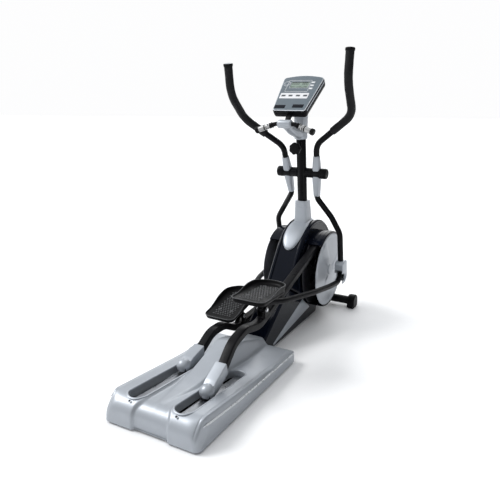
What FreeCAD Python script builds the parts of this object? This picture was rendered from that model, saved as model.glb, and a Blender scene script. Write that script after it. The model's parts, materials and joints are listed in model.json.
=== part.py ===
import FreeCAD, Part
import math
import os

os.makedirs("parts", exist_ok=True)

Vector = FreeCAD.Vector

# Frame of the part: +Y forward (the way the user faces), +X to the user's right, +Z up.
# All sizes are in millimetres.  An outline in the side plane is a list of (y, z) or (y, z, radius).

# Crank and linkage
CRANK_CENTRE = (691.0, 354.0)
CRANK_RADIUS = 220.0
CRANK_ANGLE = 123.5
BEAM_LENGTH = 1370.0
LINK_LENGTH = 888.0
ARM_LENGTH = 690.0
ARM_PIVOT = (610.0, 1005.0)
LINK_PIVOT_ON_BEAM = (595.0, 53.0)

# Roller track
TRACK_START = (-736.0, 122.0)
TRACK_SLOPE = 5.4
ROLLER_RADIUS = 30.0
TRACK_GAP = 0.3
RAIL_X = (112.0, 152.0)
RAIL_DEPTH = 22.0
RAIL_ENDS = (-955.0, -430.0)
SEAT_GAP = 0.1

# Widths measured from the middle plane
BEAM_X = (107.0, 157.0)
ROLLER_X = (118.0, 146.0)
COVER_X = (98.0, 166.0)
DECK_HALF = 266.0
HOUSING_HALF = 85.0
SPINE_HALF = 80.0
HUMP_HALF = 85.0
WHEEL_X = (92.0, 102.0)
SHROUD_END = 188.0
DISC_END = 190.5
ARM_HUB_X = (76.0, 129.0)
ARM_X = 101.0
LINK_END_X = 266.0
PEDAL_X = (52.0, 242.0)

# Pedal, along and above its link
PEDAL_Y = (-220.0, 115.0)
PEDAL_Z = (106.0, 136.0)
PEDAL_RIM = 9.0

# Lengths along the machine
DECK_REAR = -1020.0
DECK_FRONT = -41.0
FRONT_END = 1020.0
SLOT_ENDS = (-965.0, -430.0)
SLOT_X = (86.0, 180.0)
DECK_WALL = 4.0
DECK_FLOOR_GAP = 8.0
DECK_FRONT_HEIGHT = 74.0
DECK_KNEE = -430.0

# Housing and drive
HOUSING_RADIUS = 325.0
HOUSING_HEEL = (272.0, 322.0)
HOUSING_TOE = (760.0, 60.0)
SHROUD_RADII = (254.0, 259.0)
DISC_RADIUS = 247.0
WHEEL_RADIUS = 248.0
AXLE_RADIUS = 15.0
FLYWHEEL_CENTRE = (850.0, 215.0)
FLYWHEEL_RADIUS = 105.0
PULLEY_RADIUS = 130.0
SMALL_PULLEY_RADIUS = 30.0
FLYWHEEL_SHAFT_RADIUS = 8.0
IDLER_RADIUS = 15.0
BELT_THICKNESS = 3.0
BELT_GAP = 0.3

# Frame
SIDE_PLATE_X = (42.0, 48.0)
FRAME_Z = (14.0, 54.0)
REAR_TUBE_Y = (-950.0, -910.0)
MIDDLE_TUBE_Y = (-470.0, -430.0)

# Mast
MAST_FOOT = (666.0, 560.0)
MAST_TOP = (567.7, 1252.0)
MAST_RADIUS = 31.0
PIVOT_AXLE_RADIUS = 12.0
BUSH_RADIUS = 16.0
RUNNING_FIT = 0.05

# Fasteners and pins
PIN_RADIUS = 8.0
SCREW_RADIUS = 5.0

# Console, measured on its face: p across, q up the face, n out of the face
FACE_FOOT = (367.0, 1395.0)
FACE_TILT = 40.6
CONSOLE_DEPTH = 58.0
SCREEN_P = (-66.0, 55.0)
SCREEN_Q = (204.0, 258.0)
KEY_SIZE = (26.0, 14.0)
SMALL_KEY_SIZE = (22.0, 13.0)
KEY_GAP = 0.3
KEY_ROW = [(-79.0, 132.0), (-32.0, 132.0), (17.0, 132.0), (64.0, 132.0)]
KEY_COLUMN = [(78.0, 253.0), (78.0, 225.0), (78.0, 197.0)]

# Fixed hand bar, as (x, y, z, bend radius)
BAR_STATIONS = [(-186, 320, 1278), (-60, 328, 1320, 60), (60, 328, 1320, 60), (186, 320, 1278)]
BAR_RADIUS = 13.0

# Tube sizes
BEAM_HEIGHT = 40.0
BEAM_BOW = [(150.0, 28.0, 200.0), (262.0, 84.0, 160.0), (385.0, 76.0, 160.0), (520.0, 0.0, 200.0)]
BEAM_COVER_LENGTH = 146.0
TUBE_WALL = 2.5
ARM_TUBE_RADIUS = 19.0
GRIP_RADIUS = 25.0
LINK_TUBE_RADIUS = 16.0
STABILIZER_RADIUS = 29.0
STABILIZER_CENTRE = (972.5, 47.5)
COVER_WALL = 3.5


# ---------------------------------------------------------------- shape helpers

def box(x, y, z):
    return Part.makeBox(x[1] - x[0], y[1] - y[0], z[1] - z[0], Vector(x[0], y[0], z[0]))


def rod(x, centre, radius):
    start = Vector(x[0], centre[0], centre[1])
    return Part.makeCylinder(radius, x[1] - x[0], start, Vector(1, 0, 0))


def ring(x, centre, outer, inner):
    return rod(x, centre, outer).cut(rod((x[0] - 1, x[1] + 1), centre, inner))


def rod_between(start, end, radius):
    along = Vector(*end) - Vector(*start)
    return Part.makeCylinder(radius, along.Length, Vector(*start), along)


def joined(shapes):
    result = shapes[0].multiFuse(shapes[1:]) if len(shapes) > 1 else shapes[0]
    return result.removeSplitter()


def without(shape, tools):
    for tool in tools:
        shape = shape.cut(tool)
    return shape


def rounded_edges(points, radii, closed):
    """Straight runs joined by tangent arcs."""
    count = len(points)
    firsts = list(points)
    lasts = list(points)
    arcs = [None] * count
    for i in range(count):
        if radii[i] <= 0 or (not closed and i in (0, count - 1)):
            continue
        into = points[i] - points[i - 1]
        out = points[(i + 1) % count] - points[i]
        into.normalize()
        out.normalize()
        turn = into.getAngle(out)
        reach = radii[i] * math.tan(turn / 2)
        inward = out - into
        inward.normalize()
        middle = points[i] + inward * (radii[i] / math.cos(turn / 2) - radii[i])
        firsts[i] = points[i] - into * reach
        lasts[i] = points[i] + out * reach
        arcs[i] = Part.Arc(firsts[i], middle, lasts[i]).toShape()
    edges = []
    for i in range(count):
        if arcs[i]:
            edges.append(arcs[i])
        if i < count - 1 or closed:
            start = lasts[i]
            end = firsts[(i + 1) % count]
            if (end - start).Length > 1e-6:
                edges.append(Part.LineSegment(start, end).toShape())
    return edges


def outline_face(corners, point):
    """A flat face from corners (a, b) or (a, b, radius); point(a, b) places a corner in space."""
    points = [point(c[0], c[1]) for c in corners]
    radii = [c[2] if len(c) > 2 else 0 for c in corners]
    return Part.Face(Part.Wire(rounded_edges(points, radii, True)))


def side_face(corners, x=0.0):
    return outline_face(corners, lambda y, z: Vector(x, y, z))


def plate(x, corners):
    """A prism along X over an outline in the side plane."""
    return side_face(corners, x[0]).extrude(Vector(x[1] - x[0], 0, 0))


def flat_plate(z, corners):
    """A prism along Z over an outline of (x, y) corners."""
    face = outline_face(corners, lambda a, b: Vector(a, b, z[0]))
    return face.extrude(Vector(0, 0, z[1] - z[0]))


def rectangle(a, b, radius):
    return [(a[0], b[0], radius), (a[1], b[0], radius), (a[1], b[1], radius), (a[0], b[1], radius)]


def path_wire(stations):
    """A wire through (x, y, z) or (x, y, z, bend radius) stations."""
    points = [Vector(*s[:3]) for s in stations]
    radii = [s[3] if len(s) > 3 else 0 for s in stations]
    return Part.Wire(rounded_edges(points, radii, False)), points[1] - points[0], points[0]


def bent_rod(stations, radius):
    wire, along, start = path_wire(stations)
    circle = Part.Wire(Part.Circle(start, along, radius).toShape())
    return wire.makePipeShell([circle], True, False)


def bent_bar(stations, width, height):
    """A rectangular bar swept in the side plane, width along X."""
    wire, along, start = path_wire(stations)
    along.normalize()
    up = Vector(0, -along.z, along.y) * (height / 2)
    across = Vector(width / 2, 0, 0)
    corners = [start - across - up, start + across - up, start + across + up, start - across + up]
    profile = Part.makePolygon(corners + [corners[0]])
    return wire.makePipeShell([profile], True, False)


def turned(shape, degrees, place):
    """Turn about X at the origin, then carry the origin to place (y, z)."""
    result = shape.copy()
    result.rotate(Vector(0, 0, 0), Vector(1, 0, 0), degrees)
    result.translate(Vector(0, place[0], place[1]))
    return result


def mirrored(shape):
    return shape.mirror(Vector(0, 0, 0), Vector(1, 0, 0))


def both_sides(shape):
    return Part.makeCompound([shape, mirrored(shape)])


def save(name, shape):
    shape.exportStep("parts/%s.step" % name)


# ---------------------------------------------------------------- linkage at rest

def track_height(y):
    """Height of the roller axle line, which is also the deck's top face."""
    return TRACK_START[1] - (y - TRACK_START[0]) * math.tan(math.radians(TRACK_SLOPE))


def polar(centre, radius, degrees):
    angle = math.radians(degrees)
    return (centre[0] + radius * math.cos(angle), centre[1] + radius * math.sin(angle))


def crank_pin(side):
    return polar(CRANK_CENTRE, CRANK_RADIUS * side, CRANK_ANGLE)


def roller_centre(side):
    """The point of the track that is one beam length behind the crank pin."""
    pin = crank_pin(side)
    slope = math.radians(TRACK_SLOPE)
    gap_y = TRACK_START[0] - pin[0]
    gap_z = TRACK_START[1] - pin[1]
    along = gap_y * math.cos(slope) - gap_z * math.sin(slope)
    rest = gap_y ** 2 + gap_z ** 2 - BEAM_LENGTH ** 2
    run = -along - math.sqrt(along ** 2 - rest)
    return (TRACK_START[0] + run * math.cos(slope), TRACK_START[1] - run * math.sin(slope))


def beam_tilt(side):
    pin = crank_pin(side)
    centre = roller_centre(side)
    return math.degrees(math.atan2(pin[1] - centre[1], pin[0] - centre[0]))


def link_pivot(side):
    tilt = math.radians(beam_tilt(side))
    centre = roller_centre(side)
    a, b = LINK_PIVOT_ON_BEAM
    y = centre[0] + a * math.cos(tilt) - b * math.sin(tilt)
    z = centre[1] + a * math.sin(tilt) + b * math.cos(tilt)
    return (y, z)


def arm_swing(side):
    """Angle of the swing arm's lower end ahead of straight down."""
    pivot = link_pivot(side)
    gap_y = pivot[0] - ARM_PIVOT[0]
    gap_z = pivot[1] - ARM_PIVOT[1]
    reach = math.hypot(gap_y, gap_z)
    cosine = (ARM_LENGTH ** 2 + reach ** 2 - LINK_LENGTH ** 2) / (2 * ARM_LENGTH * reach)
    return math.degrees(math.atan2(gap_y, -gap_z) + math.acos(cosine))


def arm_foot(side):
    return polar(ARM_PIVOT, ARM_LENGTH, arm_swing(side) - 90)


def link_tilt(side):
    pivot = link_pivot(side)
    foot = arm_foot(side)
    return math.degrees(math.atan2(foot[1] - pivot[1], foot[0] - pivot[0]))


# ---------------------------------------------------------------- frame and mast

def rail_drop():
    """How far the rails' running face lies below the roller axle line, measured straight down."""
    return (ROLLER_RADIUS + TRACK_GAP) / math.cos(math.radians(TRACK_SLOPE))


def track_rail():
    rear, front = RAIL_ENDS
    top = rail_drop()
    corners = []
    for y, drop in ((rear, top), (front, top), (front, top + RAIL_DEPTH), (rear, top + RAIL_DEPTH)):
        corners.append((y, track_height(y) - drop))
    return plate(RAIL_X, corners)


def square_tube(x, y, z, axis):
    """A square steel tube, open at both ends, along axis 0 (X) or 1 (Y)."""
    inner = []
    for i, span in enumerate((x, y, z)):
        grow = 1 if i == axis else -TUBE_WALL
        inner.append((span[0] - grow, span[1] + grow))
    return box(x, y, z).cut(box(*inner))


def mast_rod(radius, foot=MAST_FOOT, top=MAST_TOP):
    return rod_between((0, foot[0], foot[1]), (0, top[0], top[1]), radius)


def idler_centre():
    """Pressing on the belt's lower run, a running gap away from it."""
    gap_y = FLYWHEEL_CENTRE[0] - CRANK_CENTRE[0]
    gap_z = FLYWHEEL_CENTRE[1] - CRANK_CENTRE[1]
    distance = math.hypot(gap_y, gap_z)
    heading = math.degrees(math.atan2(gap_z, gap_y))
    wrap = math.degrees(math.acos((PULLEY_RADIUS - SMALL_PULLEY_RADIUS) / distance))
    outside = BELT_GAP + BELT_THICKNESS
    upper = polar(CRANK_CENTRE, PULLEY_RADIUS + outside, heading - wrap)
    lower = polar(FLYWHEEL_CENTRE, SMALL_PULLEY_RADIUS + outside, heading - wrap)
    middle = ((upper[0] + lower[0]) / 2, (upper[1] + lower[1]) / 2)
    return polar(middle, IDLER_RADIUS + BELT_GAP, heading - wrap)


def side_plate():
    corners = [(560, 60), (888, 60), (932, 150, 20), (932, 285, 20), (850, 310, 30), (770, 400, 60)]
    corners += [(716, 540), (716, 640), (625, 640), (625, 540), (606, 400, 60), (560, 250, 60)]
    body = plate(SIDE_PLATE_X, corners)
    seats = [rod((40, 50), CRANK_CENTRE, 24.0), rod((40, 50), FLYWHEEL_CENTRE, 15.0)]
    return without(body, seats)


def base_frame():
    main = square_tube((-28, 28), (-950, 955), FRAME_Z, 1)
    rear = square_tube((-240, 240), REAR_TUBE_Y, FRAME_Z, 0)
    middle = square_tube((-170, 170), MIDDLE_TUBE_Y, (14, 38), 0)
    plates = both_sides(side_plate())
    foot_plate = box((-48, 48), (560, 905), (54, 60))
    socket = box((-42, 42), (625, 716), (580, 640))
    stud = rod((-42, -8), idler_centre(), 6.0)
    posts = []
    for x in (-132.0, 132.0):
        posts.append(box((x - 15, x + 15), REAR_TUBE_Y, (54, 140)))
        posts.append(box((x - 15, x + 15), MIDDLE_TUBE_Y, (38, 100)))
    seat = rail_drop() + RAIL_DEPTH + SEAT_GAP
    line = [(y, track_height(y) - seat) for y in (-1000, -400)]
    above_rails = plate((-200, 200), line + [(-400, 300), (-1000, 300)])
    posts = [post.cut(above_rails) for post in posts]
    body = joined([main, rear, middle, foot_plate, socket, stud] + list(plates.Solids) + posts)
    clear = [mast_rod(MAST_RADIUS), rod((-300, 300), STABILIZER_CENTRE, STABILIZER_RADIUS)]
    return without(body, clear)


def front_stabilizer():
    inner = STABILIZER_RADIUS - TUBE_WALL
    return ring((-262, 262), STABILIZER_CENTRE, STABILIZER_RADIUS, inner)


def floor_feet():
    """Two end caps of the front tube and four rubber feet under the rear of the frame."""
    cap = plate((250, 300), [(925, 0, 12), (FRONT_END, 0, 12), (FRONT_END, 95, 44), (925, 95, 44)])
    cap = cap.cut(rod((249, 262), STABILIZER_CENTRE, STABILIZER_RADIUS))
    feet = [cap, mirrored(cap)]
    for x in (-205.0, 205.0):
        feet.append(Part.makeCylinder(20, 14, Vector(x, -930, 0)))
    for x in (-150.0, 150.0):
        feet.append(Part.makeCylinder(18, 14, Vector(x, -450, 0)))
    return Part.makeCompound(feet)


def mast():
    shaft = mast_rod(MAST_RADIUS).cut(mast_rod(MAST_RADIUS - 3, (668, 546), (566.6, 1260)))
    boss = Part.makeCylinder(14, 30, Vector(0, 533, 1166), Vector(0, 1, 0))
    boss = boss.cut(mast_rod(MAST_RADIUS - 1))
    body = joined([shaft, boss])
    knob_hole = Part.makeCylinder(7 + RUNNING_FIT, 40, Vector(0, 520, 1166), Vector(0, 1, 0))
    return without(body, [rod((-60, 60), ARM_PIVOT, PIVOT_AXLE_RADIUS), knob_hole])


def cross_tube():
    """The welded cross tube with the two end caps that keep the swing arms on their axle."""
    tube = rod((-74, 74), ARM_PIVOT, MAST_RADIUS)
    tube = without(tube, [mast_rod(MAST_RADIUS), rod((-80, 80), ARM_PIVOT, PIVOT_AXLE_RADIUS)])
    cap = rod((130.5, 172), ARM_PIVOT, 33).cut(rod((129, 158), ARM_PIVOT, PIVOT_AXLE_RADIUS))
    return Part.makeCompound(list(tube.Solids) + [cap, mirrored(cap)])


def mast_knob():
    stem = Part.makeCylinder(7, 45, Vector(0, 500, 1166), Vector(0, 1, 0))
    head = Part.makeCylinder(36, 30, Vector(0, 470, 1166), Vector(0, 1, 0))
    lobes = []
    for i in range(6):
        angle = math.radians(60 * i)
        centre = Vector(41 * math.cos(angle), 465, 1166 + 41 * math.sin(angle))
        lobes.append(Part.makeCylinder(10, 40, centre, Vector(0, 1, 0)))
    return joined([without(head, lobes), stem])


# ---------------------------------------------------------------- covers

def deck_solid(inset):
    """The deck's outer solid, or its hollow when inset is the wall thickness."""
    half = DECK_HALF - inset
    top_rear = track_height(DECK_REAR)
    base = [(DECK_REAR, DECK_FLOOR_GAP, 4), (DECK_REAR, top_rear, 90), (DECK_KNEE, track_height(DECK_KNEE), 2000)]
    base += [(DECK_FRONT, DECK_FRONT_HEIGHT, 8), (DECK_FRONT, DECK_FLOOR_GAP, 4)]
    hump = [(-540, 55), (-330, 200, 110), (DECK_FRONT, 112, 25), (DECK_FRONT, 30)]
    solids = []
    for corners, reach in ((base, half), (hump, HUMP_HALF - inset)):
        face = side_face(corners, -reach)
        if inset:
            face = face.makeOffset2D(-inset)
        solids.append(face.extrude(Vector(2 * reach, 0, 0)))
    return joined(solids)


def slot_cutter():
    radius = (SLOT_X[1] - SLOT_X[0]) / 2
    corners = rectangle(SLOT_X, SLOT_ENDS, radius - 0.5)
    return flat_plate((20, 260), corners)


def deck_screw():
    return Part.makeCylinder(6, 80, Vector(131, -985, 100), Vector(0, 0, 1))


def deck_cover():
    body = deck_solid(0).cut(deck_solid(DECK_WALL))
    inside = DECK_HALF - DECK_WALL
    open_bottom = box((-inside, inside), (DECK_REAR + DECK_WALL, DECK_FRONT - DECK_WALL), (0, 20))
    tube_way = box((-29, 29), (DECK_FRONT - 6, DECK_FRONT + 1), (0, 56))
    slot = slot_cutter()
    screw = deck_screw()
    return without(body, [open_bottom, tube_way, slot, mirrored(slot), screw, mirrored(screw)])


def cover_screws():
    """Two screws in the deck's nose and four on each side of the housing."""
    head = deck_screw().common(deck_solid(0)).cut(deck_solid(DECK_WALL))
    screws = list(head.Solids) + list(mirrored(head).Solids)
    for angle in (-12, 62, 105, 146):
        screw = rod((HOUSING_HALF, HOUSING_HALF + 1.5), polar(CRANK_CENTRE, 298, angle), SCREW_RADIUS)
        screws += [screw, mirrored(screw)]
    return Part.makeCompound(screws)


def spine_cover():
    top = [(-40, 98, 6), HOUSING_HEEL, HOUSING_TOE]
    outer = plate((-SPINE_HALF, SPINE_HALF), [(-40, 10)] + top + [(740, 12, 10)])
    reach = SPINE_HALF - COVER_WALL
    hollow = [(-36.5, 5), (-36.5, 95), (268, 313), (300, 330), (790, 66), (740, 5)]
    back_way = box((-29, 29), (-45, -30), (0, 56))
    return without(outer, [plate((-reach, reach), hollow), back_way])


def spine_stripes():
    corners = [(66, 20, 3), (625, 85, 4), (496, 179, 4), (66, 31, 3)]
    return both_sides(plate((SPINE_HALF, SPINE_HALF + 2), corners))


def housing_face():
    rear = polar(CRANK_CENTRE, HOUSING_RADIUS, 152)
    crown = polar(CRANK_CENTRE, HOUSING_RADIUS, 58)
    front = polar(CRANK_CENTRE, HOUSING_RADIUS, -35)
    corners = [rear, HOUSING_HEEL, HOUSING_TOE, (905.0, 60.0), front]
    points = [Vector(0, y, z) for y, z in corners]
    edges = [Part.LineSegment(a, b).toShape() for a, b in zip(points, points[1:])]
    edges.append(Part.Arc(points[-1], Vector(0, crown[0], crown[1]), points[0]).toShape())
    return Part.Face(Part.Wire(edges))


def housing_shell():
    outer = housing_face().extrude(Vector(HOUSING_HALF, 0, 0))
    hollow = housing_face().makeOffset2D(-COVER_WALL)
    hollow.translate(Vector(-1, 0, 0))
    hollow = hollow.extrude(Vector(HOUSING_HALF - COVER_WALL + 1, 0, 0))
    frame_way = box((-1, 52), (525, 912), (40, 195))
    axle_way = rod((70, 90), CRANK_CENTRE, AXLE_RADIUS + 2)
    return without(outer, [hollow, frame_way, axle_way, mast_rod(MAST_RADIUS + 1)])


def mast_boot():
    """The faceted boot round the mast's foot with its tongue down the housing's back."""
    rings = []
    for z, half, y in ((640.0, 46.0, (600.0, 708.0)), (816.0, 39.0, (588.0, 672.0))):
        corners = [(-half, y[0]), (half, y[0]), (half, y[1]), (-half, y[1])]
        points = [Vector(x, yy, z) for x, yy in corners]
        rings.append(Part.makePolygon(points + [points[0]]))
    boot = Part.makeLoft(rings, True, True)
    shell = ring((-60, 60), CRANK_CENTRE, HOUSING_RADIUS + 6.5, HOUSING_RADIUS)
    outline = outline_face(rectangle((-60, 60), (536, 760), 50), lambda x, z: Vector(x, 380, z))
    tongue = shell.common(outline.extrude(Vector(0, 300, 0)))
    body = joined([boot, tongue])
    return without(body, [rod((-70, 70), CRANK_CENTRE, HOUSING_RADIUS), mast_rod(MAST_RADIUS)])


def crank_shroud():
    """An arch over the crank wheel, open at the back where the beam runs in."""
    band = ring((HOUSING_HALF, SHROUD_END), CRANK_CENTRE, SHROUD_RADII[1], SHROUD_RADII[0])
    lip = ring((SHROUD_END - 4, SHROUD_END), CRANK_CENTRE, SHROUD_RADII[1], DISC_RADIUS - 3)
    flange = ring((HOUSING_HALF, HOUSING_HALF + 3), CRANK_CENTRE, SHROUD_RADII[1], SHROUD_RADII[0] - 4)
    gap = [CRANK_CENTRE] + [polar(CRANK_CENTRE, 500, angle) for angle in (129, 180, 247)]
    return joined([band, lip, flange]).cut(plate((0, 300), gap))


def disc_cover():
    """A thin dished disc with raised spokes, fixed to the shroud's lip."""
    disc = rod((SHROUD_END, DISC_END), CRANK_CENTRE, DISC_RADIUS)
    parts = [disc, rod((DISC_END, DISC_END + 3), CRANK_CENTRE, 34)]
    for i in range(3):
        spoke = plate((DISC_END, DISC_END + 1.5), [(25, -16), (232, -34, 8), (232, 34, 8), (25, 16)])
        parts.append(turned(spoke, CRANK_ANGLE + 120 * i, CRANK_CENTRE))
    return joined(parts)


# ---------------------------------------------------------------- drive

def crank_set():
    """The axle with a wheel on each end; the beams' pins run on the wheels' outer faces."""
    axle = rod((-WHEEL_X[1], WHEEL_X[1]), CRANK_CENTRE, AXLE_RADIUS)
    wheel = ring(WHEEL_X, CRANK_CENTRE, WHEEL_RADIUS, AXLE_RADIUS)
    windows = []
    for i in range(5):
        corners = rectangle((58, 140), (-32, 32), 20)
        windows.append(turned(plate((80, 110), corners), 72 * i, CRANK_CENTRE))
    wheel = without(wheel, windows)
    return Part.makeCompound([axle, wheel, mirrored(wheel)])


def drive_pulley():
    body = ring((-30, -10), CRANK_CENTRE, PULLEY_RADIUS, AXLE_RADIUS)
    windows = []
    for i in range(5):
        hole = rod((-31, -9), (72, 0), 24)
        windows.append(turned(hole, 72 * i, CRANK_CENTRE))
    return without(body, windows)


def flywheel():
    shaft = rod((-52, 52), FLYWHEEL_CENTRE, FLYWHEEL_SHAFT_RADIUS)
    wheel = rod((6, 34), FLYWHEEL_CENTRE, FLYWHEEL_RADIUS)
    pulley = rod((-30, -10), FLYWHEEL_CENTRE, SMALL_PULLEY_RADIUS)
    return joined([shaft, wheel, pulley])


def belt_hull(grow):
    """The area inside a belt that stands grow outside both pulleys."""
    gap_y = FLYWHEEL_CENTRE[0] - CRANK_CENTRE[0]
    gap_z = FLYWHEEL_CENTRE[1] - CRANK_CENTRE[1]
    heading = math.degrees(math.atan2(gap_z, gap_y))
    spread = (PULLEY_RADIUS - SMALL_PULLEY_RADIUS) / math.hypot(gap_y, gap_z)
    wrap = math.degrees(math.acos(spread))
    x = (-28, -12)
    wheels = ((CRANK_CENTRE, PULLEY_RADIUS + grow), (FLYWHEEL_CENTRE, SMALL_PULLEY_RADIUS + grow))
    corners = []
    for angle in (heading + wrap, heading - wrap):
        pair = [polar(centre, radius, angle) for centre, radius in wheels]
        corners += pair if not corners else pair[::-1]
    rounds = [rod(x, centre, radius) for centre, radius in wheels]
    return joined(rounds + [plate(x, corners)])


def drive_belt():
    return belt_hull(BELT_GAP + BELT_THICKNESS).cut(belt_hull(BELT_GAP))


def idler_wheel():
    return ring((-30, -10), idler_centre(), IDLER_RADIUS, 6 + RUNNING_FIT)


def drive_bearings():
    crank = ring(SIDE_PLATE_X, CRANK_CENTRE, 24, AXLE_RADIUS + RUNNING_FIT)
    wheel = ring(SIDE_PLATE_X, FLYWHEEL_CENTRE, 15, FLYWHEEL_SHAFT_RADIUS + RUNNING_FIT)
    return Part.makeCompound([crank, mirrored(crank), wheel, mirrored(wheel)])


def brake_unit():
    """A magnet yoke over the flywheel's rim and the small motor that moves it."""
    yoke = box((-2, 42), (915, 965), (235, 275)).cut(rod((4, 36), FLYWHEEL_CENTRE, FLYWHEEL_RADIUS + 4))
    motor = box((-40, -6), (905, 945), (235, 275))
    return Part.makeCompound([yoke, motor])


# ---------------------------------------------------------------- beams, links and pedals

def beam_stations(start, end):
    x = (BEAM_X[0] + BEAM_X[1]) / 2
    slope = BEAM_BOW[0][1] / BEAM_BOW[0][0]
    return [(x, start, start * slope)] + [(x, *corner) for corner in BEAM_BOW] + [(x, end, 0)]


def beam():
    """A rectangular tube from the roller fork over its bow to the crank pin's hub."""
    width = BEAM_X[1] - BEAM_X[0]
    body = bent_bar(beam_stations(0, BEAM_LENGTH), width, BEAM_HEIGHT)
    hollow = bent_bar(beam_stations(62, BEAM_LENGTH - 40), width - 5, BEAM_HEIGHT - 5)
    body = body.cut(hollow)
    ends = [rod(BEAM_X, (0, 0), BEAM_HEIGHT / 2)]
    ends.append(rod((WHEEL_X[1] + 0.6, BEAM_X[1] + 2), (BEAM_LENGTH, 0), 24))
    ears = []
    for x in ((BEAM_X[0], BEAM_X[0] + 6), (BEAM_X[1] - 6, BEAM_X[1])):
        a, b = LINK_PIVOT_ON_BEAM
        ears.append(rod(x, (a, b), 16))
        ears.append(box(x, (a - 24, a + 24), (18, b - 8)))
    body = joined([body] + ends + ears)
    fork = box((ROLLER_X[0] - 3, ROLLER_X[1] + 3), (-40, 40), (-50, 60))
    pin_ways = [rod((90, 170), (0, 0), PIN_RADIUS + RUNNING_FIT)]
    pin_ways.append(rod((90, 170), LINK_PIVOT_ON_BEAM, PIN_RADIUS + RUNNING_FIT))
    return without(body, [fork] + pin_ways)


def beam_cover():
    """The tapered cover over the roller end, open below and in front."""
    end = BEAM_COVER_LENGTH
    outline = [(-38, -22, 12), (-38, 38, 34), (50, 45, 60), (end, 60, 5), (end, 3, 5), (30, -22, 20)]
    outer = plate(COVER_X, outline)
    inner_x = COVER_X[0] + 3
    hollow = side_face(outline, inner_x).makeOffset2D(-3)
    hollow = hollow.extrude(Vector(COVER_X[1] - COVER_X[0] - 6, 0, 0))
    below = hollow.copy()
    below.translate(Vector(0, 0, -30))
    ahead = hollow.copy()
    ahead.translate(Vector(0, 12, 2))
    rear_way = box((inner_x, COVER_X[1] - 3), (-45, 0), (-40, -3))
    return without(outer, [hollow, below, ahead, rear_way])


def roller_axle():
    shaft = rod((104, 160), (0, 0), PIN_RADIUS)
    return joined([shaft, rod((102.5, 106.8), (0, 0), 11), rod((157.2, 161.5), (0, 0), 11)])


def roller():
    tread = ring(ROLLER_X, (0, 0), ROLLER_RADIUS, PIN_RADIUS + RUNNING_FIT)
    waist = ring((130, 134), (0, 0), ROLLER_RADIUS + 1, ROLLER_RADIUS - 1.5)
    return tread.cut(waist)


def link_pin():
    shaft = rod((104, 162), (0, 0), PIN_RADIUS)
    return joined([shaft, rod((100, 106.8), (0, 0), 12), rod((157.2, 164), (0, 0), 12)])


def foot_link():
    """The pedal carrier with its tube forward to the swing arm's lower end."""
    hub = rod((115, 149), (0, 0), 17)
    riser = plate((120, 144), [(-20, 0), (20, 0), (34, 101), (-60, 101)])
    seat = box((80, 210), (-150, 80), (101, 106))
    run = [(132, 8, 42), (190, 150, 15, 260), (250, 486, -12, 500), (262, 700, -32, 260)]
    run += [(LINK_END_X, 830, -36, 60), (LINK_END_X, LINK_LENGTH - 10, 0)]
    tube = bent_rod(run, LINK_TUBE_RADIUS)
    eye = rod((LINK_END_X - 16, LINK_END_X + 16), (LINK_LENGTH, 0), 20)
    pin = rod((LINK_END_X - 21, LINK_END_X + 21), (LINK_LENGTH, 0), 6)
    hollow = [(152, 57, 33)] + run[1:-1] + [(LINK_END_X, 856, -16)]
    body = joined([hub, riser, seat, tube, eye, pin])
    tools = [rod((110, 155), (0, 0), PIN_RADIUS + RUNNING_FIT), bent_rod(hollow, LINK_TUBE_RADIUS - TUBE_WALL)]
    return without(body, tools)


def pedal():
    """A foot tray with a raised rim and a ribbed tread."""
    outer = flat_plate(PEDAL_Z, rectangle(PEDAL_X, PEDAL_Y, 55))
    inside_x = (PEDAL_X[0] + PEDAL_RIM, PEDAL_X[1] - PEDAL_RIM)
    inside_y = (PEDAL_Y[0] + PEDAL_RIM, PEDAL_Y[1] - PEDAL_RIM)
    tray = flat_plate((PEDAL_Z[0] + 8, PEDAL_Z[1] + 1), rectangle(inside_x, inside_y, 46))
    ribs = []
    for i in range(9):
        y = PEDAL_Y[0] + 40 + 30 * i
        ribs.append(box((PEDAL_X[0] + 35, PEDAL_X[1] - 35), (y, y + 5), (PEDAL_Z[0] + 4, PEDAL_Z[0] + 10)))
    return joined([outer.cut(tray)] + ribs)


# ---------------------------------------------------------------- swing arms

def upper_run(start):
    """Stations of the arm above its hub; start is how far the run begins along it."""
    stations = [(ARM_X, 0, 0), (ARM_X, 0, 185, 90), (337, -10, 375, 110)]
    stations += [(338, -104, 580, 200), (336, -64, 742)]
    if start == "grip":
        stations = [(207, -4.5, 270.3)] + stations[2:]
    return stations


def lower_run():
    stations = [(ARM_X, 0, 0), (ARM_X, 0, -165, 80), (188, 32, -296, 120)]
    stations += [(254, 16, -400, 110), (LINK_END_X, 2, -640)]
    return stations


def arm():
    hub = rod(ARM_HUB_X, (0, 0), MAST_RADIUS)
    upper = bent_rod(upper_run("hub"), ARM_TUBE_RADIUS)
    lower = bent_rod(lower_run(), ARM_TUBE_RADIUS)
    inner = ARM_TUBE_RADIUS - TUBE_WALL
    body = joined([hub, upper, lower])
    hollows = [bent_rod(upper_run("hub"), inner), bent_rod(lower_run(), inner)]
    core = rod((ARM_HUB_X[0], ARM_HUB_X[1]), (0, 0), MAST_RADIUS - 6)
    body = joined([without(body, hollows), core])
    return body.cut(rod((60, 140), (0, 0), BUSH_RADIUS + RUNNING_FIT))


def arm_sleeves():
    """Tapered covers on the arm just above and just below its hub."""
    sleeves = []
    for way in (1, -1):
        start = Vector(ARM_X, 0, 12 * way)
        cone = Part.makeCone(27, 23, 118, start, Vector(0, 0, way))
        bore = Part.makeCylinder(ARM_TUBE_RADIUS, 130, start, Vector(0, 0, way))
        sleeves.append(without(cone, [bore, rod((50, 150), (0, 0), MAST_RADIUS)]))
    return Part.makeCompound([solid for sleeve in sleeves for solid in sleeve.Solids])


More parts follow.
